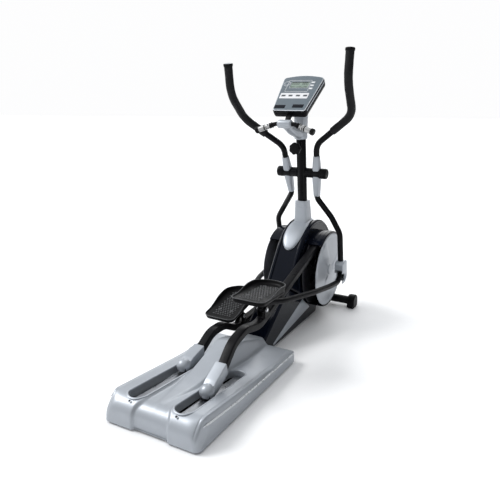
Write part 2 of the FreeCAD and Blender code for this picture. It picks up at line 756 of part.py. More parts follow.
def grip():
    """The foam over the bent upper arm and the cap on its end."""
    foam = bent_rod(upper_run("grip"), GRIP_RADIUS).cut(bent_rod(upper_run("hub"), ARM_TUBE_RADIUS))
    top = Vector(336, -64, 742)
    heading = top - Vector(338, -104, 580)
    heading.normalize()
    cap = Part.makeCylinder(GRIP_RADIUS + 3, 12, top, heading)
    return Part.makeCompound([foam, cap])


def joint_cover():
    """The angular cover on the arm's lower end, open behind for the foot link."""
    x = (LINK_END_X - 29, LINK_END_X + 29)
    z = -ARM_LENGTH
    outline = [(-42, z - 48, 8), (42, z - 38, 16), (42, z + 102, 10), (-34, z + 102, 10)]
    inner = [(-66, z - 66), (37, z - 66), (37, z + 64), (-66, z + 64)]
    body = plate(x, outline).cut(plate((x[0] + 5, x[1] - 5), inner))
    return body.cut(bent_rod(lower_run(), ARM_TUBE_RADIUS))


def arm_bush():
    return ring((75, 129.5), (0, 0), BUSH_RADIUS, PIVOT_AXLE_RADIUS + RUNNING_FIT)


# ---------------------------------------------------------------- console and handlebar

def on_face(shape):
    return turned(shape, FACE_TILT, FACE_FOOT)


def console_outline():
    return [(-107, 0, 18), (107, 0, 18), (136, 300, 24), (0, 336, 400), (-136, 300, 24)]


def console_prism(z, inset):
    face = outline_face(console_outline(), lambda p, q: Vector(p, q, z[0]))
    if inset:
        face = face.makeOffset2D(-inset)
    return face.extrude(Vector(0, 0, z[1] - z[0]))


def key_places():
    places = [("menu_key_%d" % (i + 1), p, q, KEY_SIZE) for i, (p, q) in enumerate(KEY_ROW)]
    places += [("side_key_%d" % (i + 1), p, q, SMALL_KEY_SIZE) for i, (p, q) in enumerate(KEY_COLUMN)]
    return places


def key_block(p, q, size, grow, z):
    x = (p - size[0] / 2 - grow, p + size[0] / 2 + grow)
    y = (q - size[1] / 2 - grow, q + size[1] / 2 + grow)
    return flat_plate(z, rectangle(x, y, 3))


def key(p, q, size):
    cap = key_block(p, q, size, 0, (-6, 4.5))
    flange = key_block(p, q, size, 2, (-6, -3.5))
    return on_face(joined([cap, flange]))


def console_body():
    shell = console_prism((-CONSOLE_DEPTH, -3), 0).cut(console_prism((-CONSOLE_DEPTH + 4, -2), 4))
    return on_face(shell)


def console_face():
    body = console_prism((-3, 3), 1.5)
    window = flat_plate((-4, 4), rectangle(SCREEN_P, SCREEN_Q, 3))
    holes = [key_block(p, q, size, KEY_GAP, (-5, 5)) for _, p, q, size in key_places()]
    return on_face(without(body, [window] + holes))


def console_screen():
    return on_face(flat_plate((-3, 1.5), rectangle(SCREEN_P, SCREEN_Q, 3)))


def handlebar_yoke():
    """The collar on the mast top, its neck back to the hand bar and the console's post."""
    collar = mast_rod(41, (572, 1222), (563.6, 1281))
    neck = bent_rod([(0, 562, 1252), (0, 420, 1278, 120), (0, 332, 1316)], 25)
    clamp = rod((-42, 42), (328, 1320), 25)
    post = plate((-33, 33), [(533, 1262), (600, 1262), (592, 1520), (520, 1520)])
    post = post.cut(on_face(console_prism((-CONSOLE_DEPTH, 200), 0)))
    body = joined([collar, neck, clamp] + list(post.Solids)[:1])
    return without(body, [mast_rod(MAST_RADIUS), bent_rod(BAR_STATIONS, BAR_RADIUS)])


def bar_sleeve(x, radius):
    """A sleeve round the sloping end of the hand bar between two distances from the middle."""
    bend = Vector(*BAR_STATIONS[2][:3])
    tip = Vector(*BAR_STATIONS[3])
    ends = [bend + (tip - bend) * ((reach - bend.x) / (tip.x - bend.x)) for reach in x]
    return rod_between(ends[0], ends[1], radius)


def handlebar_tubes():
    bar = bent_rod(BAR_STATIONS, BAR_RADIUS)
    pieces = [bar]
    for x, radius in (((82, 97), 17.0), ((128, 133), 17.5), ((168, 190), 20.0)):
        sleeve = bar_sleeve(x, radius).cut(bar)
        pieces += [sleeve, mirrored(sleeve)]
    return Part.makeCompound(pieces)


def pulse_plates():
    bar = bent_rod(BAR_STATIONS, BAR_RADIUS)
    plates = []
    for x in ((97.2, 127.8), (133.2, 167.8)):
        sleeve = bar_sleeve(x, 16.5).cut(bar)
        plates += [sleeve, mirrored(sleeve)]
    return Part.makeCompound(plates)


# ---------------------------------------------------------------- the part

FIXED_NODES = {
    "base_frame": base_frame,
    "front_stabilizer": front_stabilizer,
    "floor_feet": floor_feet,
    "track_rails": lambda: both_sides(track_rail()),
    "deck_cover": deck_cover,
    "cover_screws": cover_screws,
    "spine_cover": spine_cover,
    "spine_stripes": spine_stripes,
    "housing_shells": lambda: both_sides(housing_shell()),
    "mast_boot": mast_boot,
    "crank_shrouds": lambda: both_sides(crank_shroud()),
    "disc_covers": lambda: both_sides(disc_cover()),
    "mast": mast,
    "cross_tube": cross_tube,
    "arm_axle": lambda: rod((-158, 158), ARM_PIVOT, PIVOT_AXLE_RADIUS),
    "mast_knob": mast_knob,
    "console_body": console_body,
    "console_face": console_face,
    "console_screen": console_screen,
    "handlebar_yoke": handlebar_yoke,
    "handlebar_tubes": handlebar_tubes,
    "pulse_plates": pulse_plates,
    "crank_set": crank_set,
    "drive_pulley": drive_pulley,
    "drive_belt": drive_belt,
    "flywheel": flywheel,
    "idler_wheel": idler_wheel,
    "drive_bearings": drive_bearings,
    "brake_unit": brake_unit,
}


def side_nodes(side):
    """The moving pieces of one side as (name, shape, turn, place)."""
    at_roller = (beam_tilt(side), roller_centre(side))
    at_link = (link_tilt(side), link_pivot(side))
    at_arm = (arm_swing(side), ARM_PIVOT)
    return [
        ("roller_axle", roller_axle(), *at_roller),
        ("roller", roller(), *at_roller),
        ("beam", beam(), *at_roller),
        ("beam_cover", beam_cover(), *at_roller),
        ("link_pin", link_pin(), *at_link),
        ("foot_link", foot_link(), *at_link),
        ("pedal", pedal(), *at_link),
        ("arm_bush", arm_bush(), *at_arm),
        ("arm", arm(), *at_arm),
        ("arm_sleeves", arm_sleeves(), *at_arm),
        ("grip", grip(), *at_arm),
        ("joint_cover", joint_cover(), *at_arm),
    ]


for node, build in FIXED_NODES.items():
    save(node, build())

for node, p, q, size in key_places():
    save(node, key(p, q, size))

for prefix, side in (("right", 1), ("left", -1)):
    for node, shape, turn, place in side_nodes(side):
        posed = turned(shape, turn, place)
        save("%s_%s" % (prefix, node), posed if side > 0 else mirrored(posed))
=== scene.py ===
import json
import math
import bmesh
import bpy
from mathutils import Matrix, Vector


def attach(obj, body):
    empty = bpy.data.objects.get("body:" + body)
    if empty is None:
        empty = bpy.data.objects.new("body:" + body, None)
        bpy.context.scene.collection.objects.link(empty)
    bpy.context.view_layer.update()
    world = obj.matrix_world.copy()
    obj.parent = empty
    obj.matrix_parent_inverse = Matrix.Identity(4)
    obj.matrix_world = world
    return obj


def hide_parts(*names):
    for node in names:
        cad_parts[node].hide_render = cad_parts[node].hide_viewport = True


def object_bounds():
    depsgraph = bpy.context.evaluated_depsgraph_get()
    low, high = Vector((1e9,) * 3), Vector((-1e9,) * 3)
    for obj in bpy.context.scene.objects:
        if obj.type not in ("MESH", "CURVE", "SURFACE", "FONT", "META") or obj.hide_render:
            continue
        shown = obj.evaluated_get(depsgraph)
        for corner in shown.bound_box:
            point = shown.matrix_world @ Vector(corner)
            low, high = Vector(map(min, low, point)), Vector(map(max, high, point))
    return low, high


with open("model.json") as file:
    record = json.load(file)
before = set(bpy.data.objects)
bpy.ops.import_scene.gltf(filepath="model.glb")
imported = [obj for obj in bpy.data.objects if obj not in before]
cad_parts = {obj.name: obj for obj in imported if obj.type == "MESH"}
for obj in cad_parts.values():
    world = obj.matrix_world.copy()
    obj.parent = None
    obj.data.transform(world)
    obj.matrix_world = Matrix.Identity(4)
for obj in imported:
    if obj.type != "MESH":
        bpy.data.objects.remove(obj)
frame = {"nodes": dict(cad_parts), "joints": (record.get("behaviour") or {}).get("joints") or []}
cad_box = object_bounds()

# Local shapes are in millimetres: x to the side, y forward, z up.  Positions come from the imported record.
MM = 0.001
COAT_ROUGHNESS = 0.12
BUMP_DEPTH = 0.0004
SAME_POINT, NO_LENGTH, WELD_REACH = 2e-6, 1e-7, 1e-5
SIDES = ((1, "right"), (-1, "left"))
JOINTS = {joint["name"]: joint for joint in frame["joints"]}


def joint_place(name):
    """A joint's (y, z) in millimetres."""
    position = JOINTS[name]["pos_m"]
    return position[1] / MM, position[2] / MM


# ---- looks

LOOKS = {}


def add_node(tree, kind, **values):
    """A shader node with these input values; an underscore in a name stands for a space."""
    node = tree.nodes.new(kind)
    for name, value in values.items():
        node.inputs[name.replace("_", " ")].default_value = value
    return node


def look(name, colour, rough, metal=0.0, grain=900.0, bump=0.15, shift=0.06, coat=0.0, wear=0.0, spread=0.08,
         gloss=0.5):
    """A painted, moulded or metal surface: tone drift, fine grain in the bump, uneven gloss, paler worn edges."""
    made = bpy.data.materials.new(name)
    made.use_nodes = True
    tree = made.node_tree
    link = tree.links.new
    shader = tree.nodes["Principled BSDF"]
    for socket, value in (("Metallic", metal), ("Coat Weight", coat), ("Specular IOR Level", gloss),
                          ("Coat Roughness", COAT_ROUGHNESS)):
        shader.inputs[socket].default_value = value
    where = tree.nodes.new("ShaderNodeTexCoord").outputs["Object"]

    def noise(scale, detail):
        node = add_node(tree, "ShaderNodeTexNoise", Scale=scale, Detail=detail)
        link(where, node.inputs["Vector"])
        return node.outputs["Fac"]

    def mapped(source, low, high, start=0.3, end=0.7):
        node = add_node(tree, "ShaderNodeMapRange", From_Min=start, From_Max=end, To_Min=low, To_Max=high)
        link(source, node.inputs["Value"])
        return node.outputs["Result"]

    def mixed(fac, a, b):
        node = tree.nodes.new("ShaderNodeMix")
        node.data_type = "RGBA"
        link(fac, node.inputs["Factor"])
        for socket, value in ((node.inputs[6], a), (node.inputs[7], b)):
            if isinstance(value, bpy.types.NodeSocket):
                link(value, socket)
            else:
                socket.default_value = (*value, 1)
        return node.outputs[2]

    dark, light = ([min(1, c * (1 + way * shift)) for c in colour] for way in (-1, 1))
    tone = mixed(mapped(noise(9, 4), 0, 1), dark, light)
    if wear:
        raised = tree.nodes.new("ShaderNodeMath")
        raised.operation = "MAXIMUM"
        raised.inputs[1].default_value = 0.5
        link(tree.nodes.new("ShaderNodeNewGeometry").outputs["Pointiness"], raised.inputs[0])
        pale = [min(1, c * 1.6 + 0.02) for c in colour]
        tone = mixed(mapped(raised.outputs["Value"], 0, wear, 0.53, 0.62), tone, pale)
    link(tone, shader.inputs["Base Color"])
    link(mapped(noise(35, 2), rough - spread, rough + spread), shader.inputs["Roughness"])
    relief = add_node(tree, "ShaderNodeBump", Strength=bump, Distance=BUMP_DEPTH)
    link(noise(grain, 3), relief.inputs["Height"])
    link(relief.outputs["Normal"], shader.inputs["Normal"])
    LOOKS[name] = made
    return made


look("frame_paint", (0.004, 0.004, 0.005), 0.34, grain=700, bump=0.2, wear=0.05, gloss=0.1)
look("silver_plastic", (0.36, 0.385, 0.42), 0.4, metal=0.4, grain=1400, bump=0.06,
     shift=0.04, coat=0.15, wear=0.2, spread=0.03)
look("gloss_black", (0.0025, 0.004, 0.009), 0.16, grain=250, bump=0.05, spread=0.04, gloss=0.12)
look("matte_black", (0.0035, 0.0035, 0.004), 0.42, grain=1600, bump=0.4, gloss=0.1)
look("rubber", (0.006, 0.006, 0.006), 0.55, grain=1200, bump=0.5, gloss=0.2)
look("foam", (0.006, 0.006, 0.007), 0.55, grain=1500, bump=0.9, shift=0.15, gloss=0.18)
look("track_steel", (0.30, 0.31, 0.33), 0.35, metal=1.0, grain=400, bump=0.2)
look("chrome", (0.75, 0.76, 0.78), 0.12, metal=1.0, grain=300, bump=0.03, spread=0.04)
look("steel", (0.45, 0.45, 0.46), 0.32, metal=1.0, grain=600, bump=0.1)
look("pulse_steel", (0.4, 0.4, 0.4), 0.36, metal=1.0, grain=500, bump=0.1)
look("cast_alloy", (0.07, 0.07, 0.08), 0.42, metal=0.8, grain=350, bump=0.5)
look("cast_iron", (0.09, 0.09, 0.10), 0.45, metal=0.9, grain=500, bump=0.4)
look("bronze", (0.45, 0.30, 0.12), 0.35, metal=1.0, grain=500, bump=0.2)
look("bezel", (0.085, 0.115, 0.14), 0.38, grain=1800, bump=0.08, coat=0.2)
look("screen", (0.18, 0.25, 0.20), 0.16, grain=300, bump=0.02, coat=0.8, spread=0.04)
look("light_key", (0.72, 0.73, 0.75), 0.4, grain=1500, bump=0.1)
look("dark_key", (0.06, 0.07, 0.08), 0.42, grain=1500, bump=0.15)
look("roller_tyre", (0.03, 0.03, 0.03), 0.5, grain=900, bump=0.3)
look("tread", (0.06, 0.062, 0.066), 0.34, grain=1200, bump=0.4, gloss=0.5)
# The pedal rim's look is a paler black than the tray: a painted highlight along the top of the rim.
look("rim_painted_highlight", (0.05, 0.052, 0.057), 0.34, grain=900, bump=0.2, gloss=0.5)
look("segments", (0.012, 0.02, 0.016), 0.4, grain=900, bump=0.02)
look("dark_screw", (0.05, 0.05, 0.055), 0.35, metal=0.8, grain=500, bump=0.1)
# The bead look is paler than the silver plastic it is moulded in: a painted highlight line for the deck's side crease.
look("bead", (0.62, 0.64, 0.66), 0.3, metal=0.3, grain=1400, bump=0.05, coat=0.3)
look("border", (0.55, 0.58, 0.62), 0.35, metal=0.2, grain=1500, bump=0.05, coat=0.2)


# ---- shapes: (points, faces) in millimetres

def loft(rings, looped=False):
    """Quads between closed rings of equal length, with end caps, or with the last ring joined to the first."""
    count, total = len(rings[0]), len(rings)
    faces = []
    for i in range(total if looped else total - 1):
        a, b = i * count, (i + 1) % total * count
        faces += [(a + k, a + (k + 1) % count, b + (k + 1) % count, b + k) for k in range(count)]
    if not looped:
        faces += [tuple(range(count)), tuple(range((total - 1) * count, total * count))]
    return [point for ring in rings for point in ring], faces


def merged(shapes):
    points, faces = [], []
    for more_points, more_faces in shapes:
        faces += [tuple(i + len(points) for i in face) for face in more_faces]
        points += more_points
    return points, faces


def moved(shape, matrix):
    return [matrix @ Vector(p) for p in shape[0]], shape[1]


def both(shape):
    """A shape and its mirror image on the left side."""
    return merged([shape, moved(shape, still(-1))])


def both_ways(places):
    """The same places with their negatives in front."""
    return [-x for x in reversed(places) if x] + list(places)


def rounded_corners(corners, step=12.0, closed=True):
    """An outline from corners (a, b) or (a, b, radius), its corners replaced by arcs."""
    result = []
    count = len(corners)
    for i, corner in enumerate(corners):
        here = Vector(corner[:2])
        radius = corner[2] if len(corner) > 2 else 0
        if radius <= 0 or (not closed and i in (0, count - 1)):
            result.append(here)
            continue
        into = (here - Vector(corners[i - 1][:2])).normalized()
        out = (Vector(corners[(i + 1) % count][:2]) - here).normalized()
        turn = into.angle_signed(out)
        reach = radius * math.tan(abs(turn) / 2)
        sweep = math.copysign(1, turn)
        centre = here - into * reach + Vector((into.y, -into.x)) * radius * sweep
        start = here - into * reach - centre
        steps = max(1, math.ceil(abs(math.degrees(turn)) / step))
        for k in range(steps + 1):
            a = -turn * k / steps
            result.append(centre + Vector((start.x * math.cos(a) - start.y * math.sin(a),
                                           start.x * math.sin(a) + start.y * math.cos(a))))
    return result


def divided(outline, longest, closed=True):
    """The same outline with no run longer than longest."""
    result = []
    count = len(outline)
    for i in range(count if closed else count - 1):
        a = Vector(outline[i])
        b = Vector(outline[(i + 1) % count])
        parts = max(1, math.ceil((b - a).length / longest))
        result += [a.lerp(b, k / parts) for k in range(parts)]
    if not closed:
        result.append(Vector(outline[-1]))
    return result


def normals(outline):
    """Inward normals of a closed outline in its own plane."""
    count = len(outline)
    area = sum(outline[i].x * outline[(i + 1) % count].y - outline[(i + 1) % count].x * outline[i].y
               for i in range(count))
    way = 1 if area > 0 else -1
    result = []
    for i in range(count):
        before = (outline[i] - outline[i - 1]).normalized()
        after = (outline[(i + 1) % count] - outline[i]).normalized()
        lean = before + after
        normal = Vector((-lean.y, lean.x)) * way
        length = normal.length
        normal = normal / length if length > 1e-9 else Vector((0, 0))
        cosine = max(0.5, math.sqrt(max(0.0, (1 + before.dot(after)) / 2)))
        result.append(normal / cosine)
    return result


def hull(outline, stations):
    """A solid over a (y, z) outline: stations are (x, inset), inset a number or a function (point, normal)."""
    inward = normals(outline)
    return loft([[Vector((x, *(point + (inset(point, normal) if callable(inset) else normal * inset))))
                  for point, normal in zip(outline, inward)] for x, inset in stations])


def skin(outline, rows, place, looped=False):
    """A solid through inset copies of an outline: rows are (inset, value), and place(at, value, from) a point."""
    inward = normals(outline)
    return loft([[place(point + normal * inset, value, point) for point, normal in zip(outline, inward)]
                 for inset, value in rows], looped)


def edge_stations(x, radius, steps=3):
    """Stations of a plate between two x with rounded edges."""
    low = []
    for k in range(steps + 1):
        a = math.pi / 2 * k / steps
        low.append((x[0] + radius * (1 - math.cos(a)), radius * (1 - math.sin(a))))
    return low + [(x[0] + x[1] - place, inset) for place, inset in reversed(low)]


def plate(x, corners, radius=1.5, step=12.0):
    """A plate along X over a side outline, its edges rounded."""
    return hull(rounded_corners(corners, step), edge_stations(x, radius))


def circle(radius, sides=24):
    return [(radius * math.cos(2 * math.pi * k / sides), radius * math.sin(2 * math.pi * k / sides))
            for k in range(sides)]


def spun(profile, place, sides=48):
    """A turned solid: profile is a list of (along, radius), and place(along, a, b) a point of its circle."""
    return loft([[place(along, radius * a, radius * b) for a, b in circle(1, sides)] for along, radius in profile])


def lathe(profile, sides=48, centre=(0, 0)):
    """Turned about X through centre: profile is a list of (x, radius)."""
    return spun(profile, lambda x, a, b: Vector((x, centre[0] + a, centre[1] + b)), sides)


def upright(levels, centre, sides, flat=1.0):
    """Turned about a vertical line through centre (x, y): levels are (z, radius)."""
    return spun(levels, lambda z, a, b: Vector((centre[0] + a, centre[1] + b * flat, z)), sides)


def soft_rod(x, radius, edge, centre=(0, 0)):
    """A rod along X with rounded ends."""
    return lathe([(s, radius - i) for s, i in edge_stations(x, edge)], centre=centre)


def path_points(stations, step=7.0, longest=40.0):
    """Points along straight runs joined by arcs, from stations (x, y, z) or (x, y, z, bend radius)."""
    points = []
    for i, station in enumerate(stations):
        here = Vector(station[:3])
        radius = station[3] if len(station) > 3 else 0
        if radius <= 0 or i in (0, len(stations) - 1):
            points.append(here)
            continue
        into = (here - Vector(stations[i - 1][:3])).normalized()
        out = (Vector(stations[i + 1][:3]) - here).normalized()
        turn = into.angle(out)
        axis = into.cross(out).normalized()
        inward = axis.cross(into)
        centre = here - into * radius * math.tan(turn / 2) + inward * radius
        steps = max(1, math.ceil(math.degrees(turn) / step))
        for k in range(steps + 1):
            points.append(centre + Matrix.Rotation(turn * k / steps, 3, axis) @ (-inward * radius))
    return divided(points, longest, closed=False)


def sweep(points, section, across=None, scale=None):
    """section, a closed list of (a, b), carried along points; a runs along across and b along the third axis."""
    lengths = [0.0]
    for a, b in zip(points, points[1:]):
        lengths.append(lengths[-1] + (b - a).length)
    rings = []
    side = None
    for i, point in enumerate(points):
        ahead = points[min(i + 1, len(points) - 1)] - point
        behind = point - points[max(i - 1, 0)]
        along = (ahead.normalized() + behind.normalized()).normalized()
        if across:
            side = Vector(across)
        elif side is None:
            side = along.orthogonal().normalized()
        side = (side - along * side.dot(along)).normalized()
        up = along.cross(side)
        size = scale(lengths[i], lengths[-1]) if scale else 1.0
        rings.append([point + side * (a * size) + up * (b * size) for a, b in section])
    return loft(rings)


def square(a, b, radius):
    """The corners of a rectangle over the spans a and b, each with this radius."""
    return [(a[0], b[0], radius), (a[1], b[0], radius), (a[1], b[1], radius), (a[0], b[1], radius)]


def span(middle, width):
    return middle - width / 2, middle + width / 2


def rounded_rectangle(width, height, radius, step=22.5):
    return [tuple(p) for p in rounded_corners(square(span(0, width), span(0, height), radius), step)]


def rounded_box(x, y, z, radius):
    """A box with all its edges rounded."""
    return hull(rounded_corners(square(y, z, radius), 22.5), edge_stations(x, radius))


def smoothstep(low, high, value):
    t = max(0.0, min(1.0, (value - low) / (high - low)))
    return t * t * (3 - 2 * t)


# ---- pieces

def still(side=1):
    """The part's own frame, mirrored for the left side."""
    return Matrix.Diagonal((side, 1, 1, 1))


def placed(centre, degrees, side=1):
    turn = Matrix.Rotation(math.radians(degrees), 4, "X")
    return still(side) @ Matrix.Translation((0, centre[0], centre[1])) @ turn


def round_edges(made, crown, angle, segments):
    """A bevel on the edges sharper than angle."""
    bevel = made.modifiers.new("bevel", "BEVEL")
    bevel.width = crown * MM
    bevel.segments = segments
    bevel.limit_method = "ANGLE"
    bevel.angle_limit = math.radians(angle)
    return bevel


def piece(name, shape, slot, place=None, stands_for=(), body="frame", finish=None, angle=38, crown=0, cut=()):
    """One mesh object from a shape in millimetres, in its material, on its body."""
    mesh = bpy.data.meshes.new(name)
    matrix = place or still()
    mesh.from_pydata([(matrix @ Vector(p)) * MM for p in shape[0]], [], shape[1])
    work = bmesh.new()
    work.from_mesh(mesh)
    bmesh.ops.remove_doubles(work, verts=work.verts, dist=SAME_POINT)
    bmesh.ops.dissolve_degenerate(work, edges=work.edges, dist=NO_LENGTH)
    bmesh.ops.recalc_face_normals(work, faces=work.faces)
    work.to_mesh(mesh)
    work.free()
    made = bpy.data.objects.new(name, mesh)
    bpy.context.scene.collection.objects.link(made)
    for k, tool in enumerate(cut):
        cutter = piece(name + "_cutter%d" % k, tool, None, place)
        modifier = made.modifiers.new("cut", "BOOLEAN")
        modifier.object = cutter
        modifier.solver = "MANIFOLD"
        settle(made)
        bpy.data.objects.remove(cutter)
    if crown:
        round_edges(made, crown, angle, 3)
        settle(made)
    made.data.shade_smooth()
    made.data.set_sharp_from_angle(angle=math.radians(angle))
    if slot:
        made.data.materials.clear()
        made.data.materials.append(LOOKS[finish or slot])
        made.data.polygons.foreach_set("material_index", [0] * len(made.data.polygons))
        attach(made, body)
        if stands_for:
            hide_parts(*stands_for)
    return made


def settle(made):
    """Keep the result of the object's modifiers as its mesh."""
    bpy.context.view_layer.update()
    evaluated = made.evaluated_get(bpy.context.evaluated_depsgraph_get())
    mesh = bpy.data.meshes.new_from_object(evaluated)
    made.modifiers.clear()
    made.data = mesh


# ---- the machine's own numbers, in millimetres

CRANK = joint_place("crank_spin")
ARM_PIVOT = joint_place("right_arm_swing")
DECK_REAR, DECK_FRONT, DECK_HALF = -1020.0, -41.0, 266.0
SLOT_X, SLOT_ENDS = (86.0, 180.0), (-965.0, -430.0)


def polar(centre, radius, degrees):
    a = math.radians(degrees)
    return centre[0] + radius * math.cos(a), centre[1] + radius * math.sin(a)


def arched(headings, section):
    """A solid carried round the crank's axis: section, or section(heading), lists its points (x, radius)."""
    return loft([[Vector((x, *polar(CRANK, radius, heading)))
                  for x, radius in (section(heading) if callable(section) else section)] for heading in headings])


def between(table, at):
    """Straight lines through (place, value) pairs."""
    if at <= table[0][0]:
        return table[0][1]
    for (a, u), (b, v) in zip(table, table[1:]):
        if at <= b:
            return u + (v - u) * (at - a) / (b - a)
    return table[-1][1]


# ---- deck cover

DECK_PROFILE = [(DECK_REAR, 8, 4), (DECK_REAR, 148.8, 90), (-430, 93.1, 1500), (DECK_FRONT, 74, 6),
                (DECK_FRONT, 8, 3)]
DECK_DROP = [(-1020, 34), (-684, 33), (-354, 20), (-41, 14)]
DECK_STATIONS = [0, 8, 16, 24, 32, 40, 46, 52, 56, 60, 64, 68, 72, 76, 80, 84, 87, 90, 93, 96, 99, 102, 106, 112, 120,
                 130, 142, 154, 166, 174, 180, 186, 194, 204, 214, 224, 231, 233, 235, 236.5, 238, 240, 242, 246, 250,
                 252, 254, 256, 258, 260, 262, 263.5, 265, 266]
HUMP_WIDTH = [(-1000, 3), (-960, 8), (-880, 26), (-790, 47), (-700, 65), (-629, 75), (-548, 86), (-450, 95),
              (-300, 103), (-200, 103), (-41, 99)]
HUMP_RISE = [(-1000, 0), (-880, 3), (-790, 7), (-700, 12), (-640, 19), (-580, 31), (-530, 46), (-480, 65), (-430, 84),
             (-380, 99), (-340, 106), (-300, 105), (-240, 90), (-180, 72), (-120, 56), (-41, 39)]


def deck_top(y):
    """Height of the deck's top face between its nose and its front edge."""
    plain = between([(-1020, 148.8), (-430, 93.1), (-41, 74)], y)
    reach = max(0.0, -936.0 - y)
    return plain - (90 - math.sqrt(max(0.0, 90 ** 2 - reach ** 2)))


def deck_shift(x, point, normal):
    """The skin's shift from the plain profile: side band, valley behind the hump, and the hump itself."""
    y, z = point
    a = abs(x)
    corner = 30 + 45 * smoothstep(20, 140, z)
    turn = corner - math.sqrt(max(0.0, corner ** 2 - max(0.0, a - DECK_HALF + corner) ** 2))
    turn *= 1 - smoothstep(-1012, -930, y)
    hollow = 12 * (1 - smoothstep(86, 104, a)) if y < -990 else 0
    if z < 8.6:
        return Vector((turn + hollow, 0))
    edge = 251 + 10 * smoothstep(-352, -322, y)
    drop = between(DECK_DROP, y) * smoothstep(6, 70, z)
    depth = drop * max(0.0, (a - edge) / (DECK_HALF - edge)) ** 1.25
    on_top = smoothstep(-1008, -940, y)
    foot = 88 - 26 * on_top
    shoulder = foot + 18 + 4 * on_top
    depth += 12 * (1 - smoothstep(foot, shoulder, a)) * (1 - smoothstep(-760, -540, y))
    depth += 1.6 * (1 - smoothstep(1.5, 4.5, abs(a - 237))) * smoothstep(40, 90, z)
    share = min(1.0, a / between(HUMP_WIDTH, y))
    rise = between(HUMP_RISE, y) * (1 - smoothstep(0.58, 1.0, share)) * (1 - 0.06 * share ** 2)
    if y < -500:
        return normal * depth + Vector((turn, rise if z > 60 else 0))
    return Vector((0, (rise - depth) * smoothstep(9, 67, z)))


def deck_cover():
    outline = divided(rounded_corners(DECK_PROFILE, 6), 11)
    shell = hull(outline, [(x, lambda p, n, x=x: deck_shift(x, p, n)) for x in both_ways(DECK_STATIONS)])
    inner = [(DECK_REAR + 20, -6), (DECK_REAR + 20, 128, 70), (-421, 74), (DECK_FRONT - 6, 59), (DECK_FRONT - 6, -6)]
    hollow = hull(rounded_corners(inner, 10), [(-246, 0), (246, 0)])
    way = rounded_box((-29.5, 29.5), (DECK_FRONT - 20, DECK_FRONT + 8), (-4, 56), 3)
    piece("deck_shell", shell, "silver_plastic", stands_for=["deck_cover"],
          cut=[slot_block(1), slot_block(-1), hollow, way], angle=32)
    for side, word in SIDES:
        # The bead takes the paler bead look: a painted highlight line along the crease.
        piece("deck_bead_" + word, deck_bead(side), "silver_plastic", finish="bead", angle=50)
        piece("deck_slot_rim_" + word, slot_rim(side), "silver_plastic", angle=50)


def slot_outline(grow=0.0):
    radius = (SLOT_X[1] - SLOT_X[0]) / 2 + grow - 0.5
    x = (SLOT_X[0] - grow, SLOT_X[1] + grow)
    y = (SLOT_ENDS[0] - grow, SLOT_ENDS[1] + grow)
    return divided(rounded_corners(square(x, y, radius), 7), 22)


def slot_block(side):
    """A block through the deck with the slot's outline."""
    outline = slot_outline(2)
    return loft([[Vector((side * p.x, p.y, z)) for p in outline] for z in (20, 180)])


def slot_rim(side):
    """The rolled rim of a roller slot and the wall that hangs from it: (distance out, distance down)."""
    section = [(9.5, 0.5), (8, -0.9), (4.5, -1.9), (1.5, -1.2), (-0.5, 1.2), (-1.2, 5), (0, 14), (1.5, 44), (5, 44),
               (5.5, 14), (7.5, 4)]
    return skin(slot_outline(), [(-out, down) for out, down in section],
                lambda at, down, start: Vector((side * at.x, at.y, deck_top(at.y) - down)), looped=True)


def deck_bead(side):
    """The rolled bead along the crease between the deck's sloping band and its side wall, in a paler look that paints
    a highlight line along it.
    """
    points = []
    for i in range(75):
        y = -968 + 925 * i / 74
        inset = 5 * (1 - smoothstep(-968, -930, y)) + 1.5 * (1 - smoothstep(-352, -322, y))
        points.append(Vector((side * (267.5 - inset), y, deck_top(y) - between(DECK_DROP, y) + 3.4)))
    return sweep(points, circle(4.6, 14), (1, 0, 0),
                 lambda s, total: 0.3 + 0.7 * smoothstep(0, 30, min(s, total - s)))


deck_cover()


# ---- spine, housing and boot

def spine_cover():
    outline = rounded_corners([(-40, 12, 3), (-40, 98, 10), (272, 322, 4), (760, 60, 4), (740, 12, 10)], 15)
    stations = []
    for x in both_ways((56, 60, 64, 71, 76, 79, 80)):
        a = abs(x)
        inset = 9 * smoothstep(64, 80, a) ** 1.5 + 2.0 * (1 - smoothstep(56, 64, a))
        stations.append((x, lambda p, n, i=inset: n * (i if p.y > 20 else 0.0)))
    return hull(divided(outline, 60), stations)


def housing_outline():
    points = [Vector(polar(CRANK, 325, a)) for a in range(-35, 153, 4)]
    points += [Vector(p) for p in rounded_corners([(404.0, 506.6), (274, 324, 14), (760, 64, 4), (905, 61, 10),
                                                    (957, 167)], 15, closed=False)[1:-1]]
    return points


def housing():
    """The glossy drive housing: a flanged back with a long recessed panel, and soft side edges."""
    stations = []
    for x in both_ways((0, 58, 61, 63, 66, 70, 72, 76, 80, 83, 84.5, 85)):
        a = abs(x)
        edge = 10 * smoothstep(72, 85, a) ** 2
        panel = 6.5 * (1 - smoothstep(58, 64, a))

        def inset(point, normal, edge=edge, panel=panel):
            heading = math.degrees(math.atan2(point.y - CRANK[1], point.x - CRANK[0]))
            return normal * (edge if -170 < heading < -30 else edge + panel)
        stations.append((x, inset))
    return hull(housing_outline(), stations)


def spine_stripes():
    """The pale hatched fin on each side of the spine: slanted bars in a tapering frame."""
    shapes = [plate((79.4, 80.9), [(66, 18), (625, 84, 4), (496, 180, 4), (66, 32)], 0.5)]
    for i in range(38):
        y = 110 + 12.6 * i
        bottom = 20 + (y - 66) * 0.118
        top = min(31 + (y - 66) * 0.344, 180 - (y - 496) * 0.744)
        if top - bottom >= 14:
            bar = [(y, bottom + 4), (y + 6.5, bottom + 5), (y + 2.5, top - 5), (y - 4, top - 6)]
            shapes.append(plate((80.5, 82), bar, 0.6))
    return both(merged(shapes))


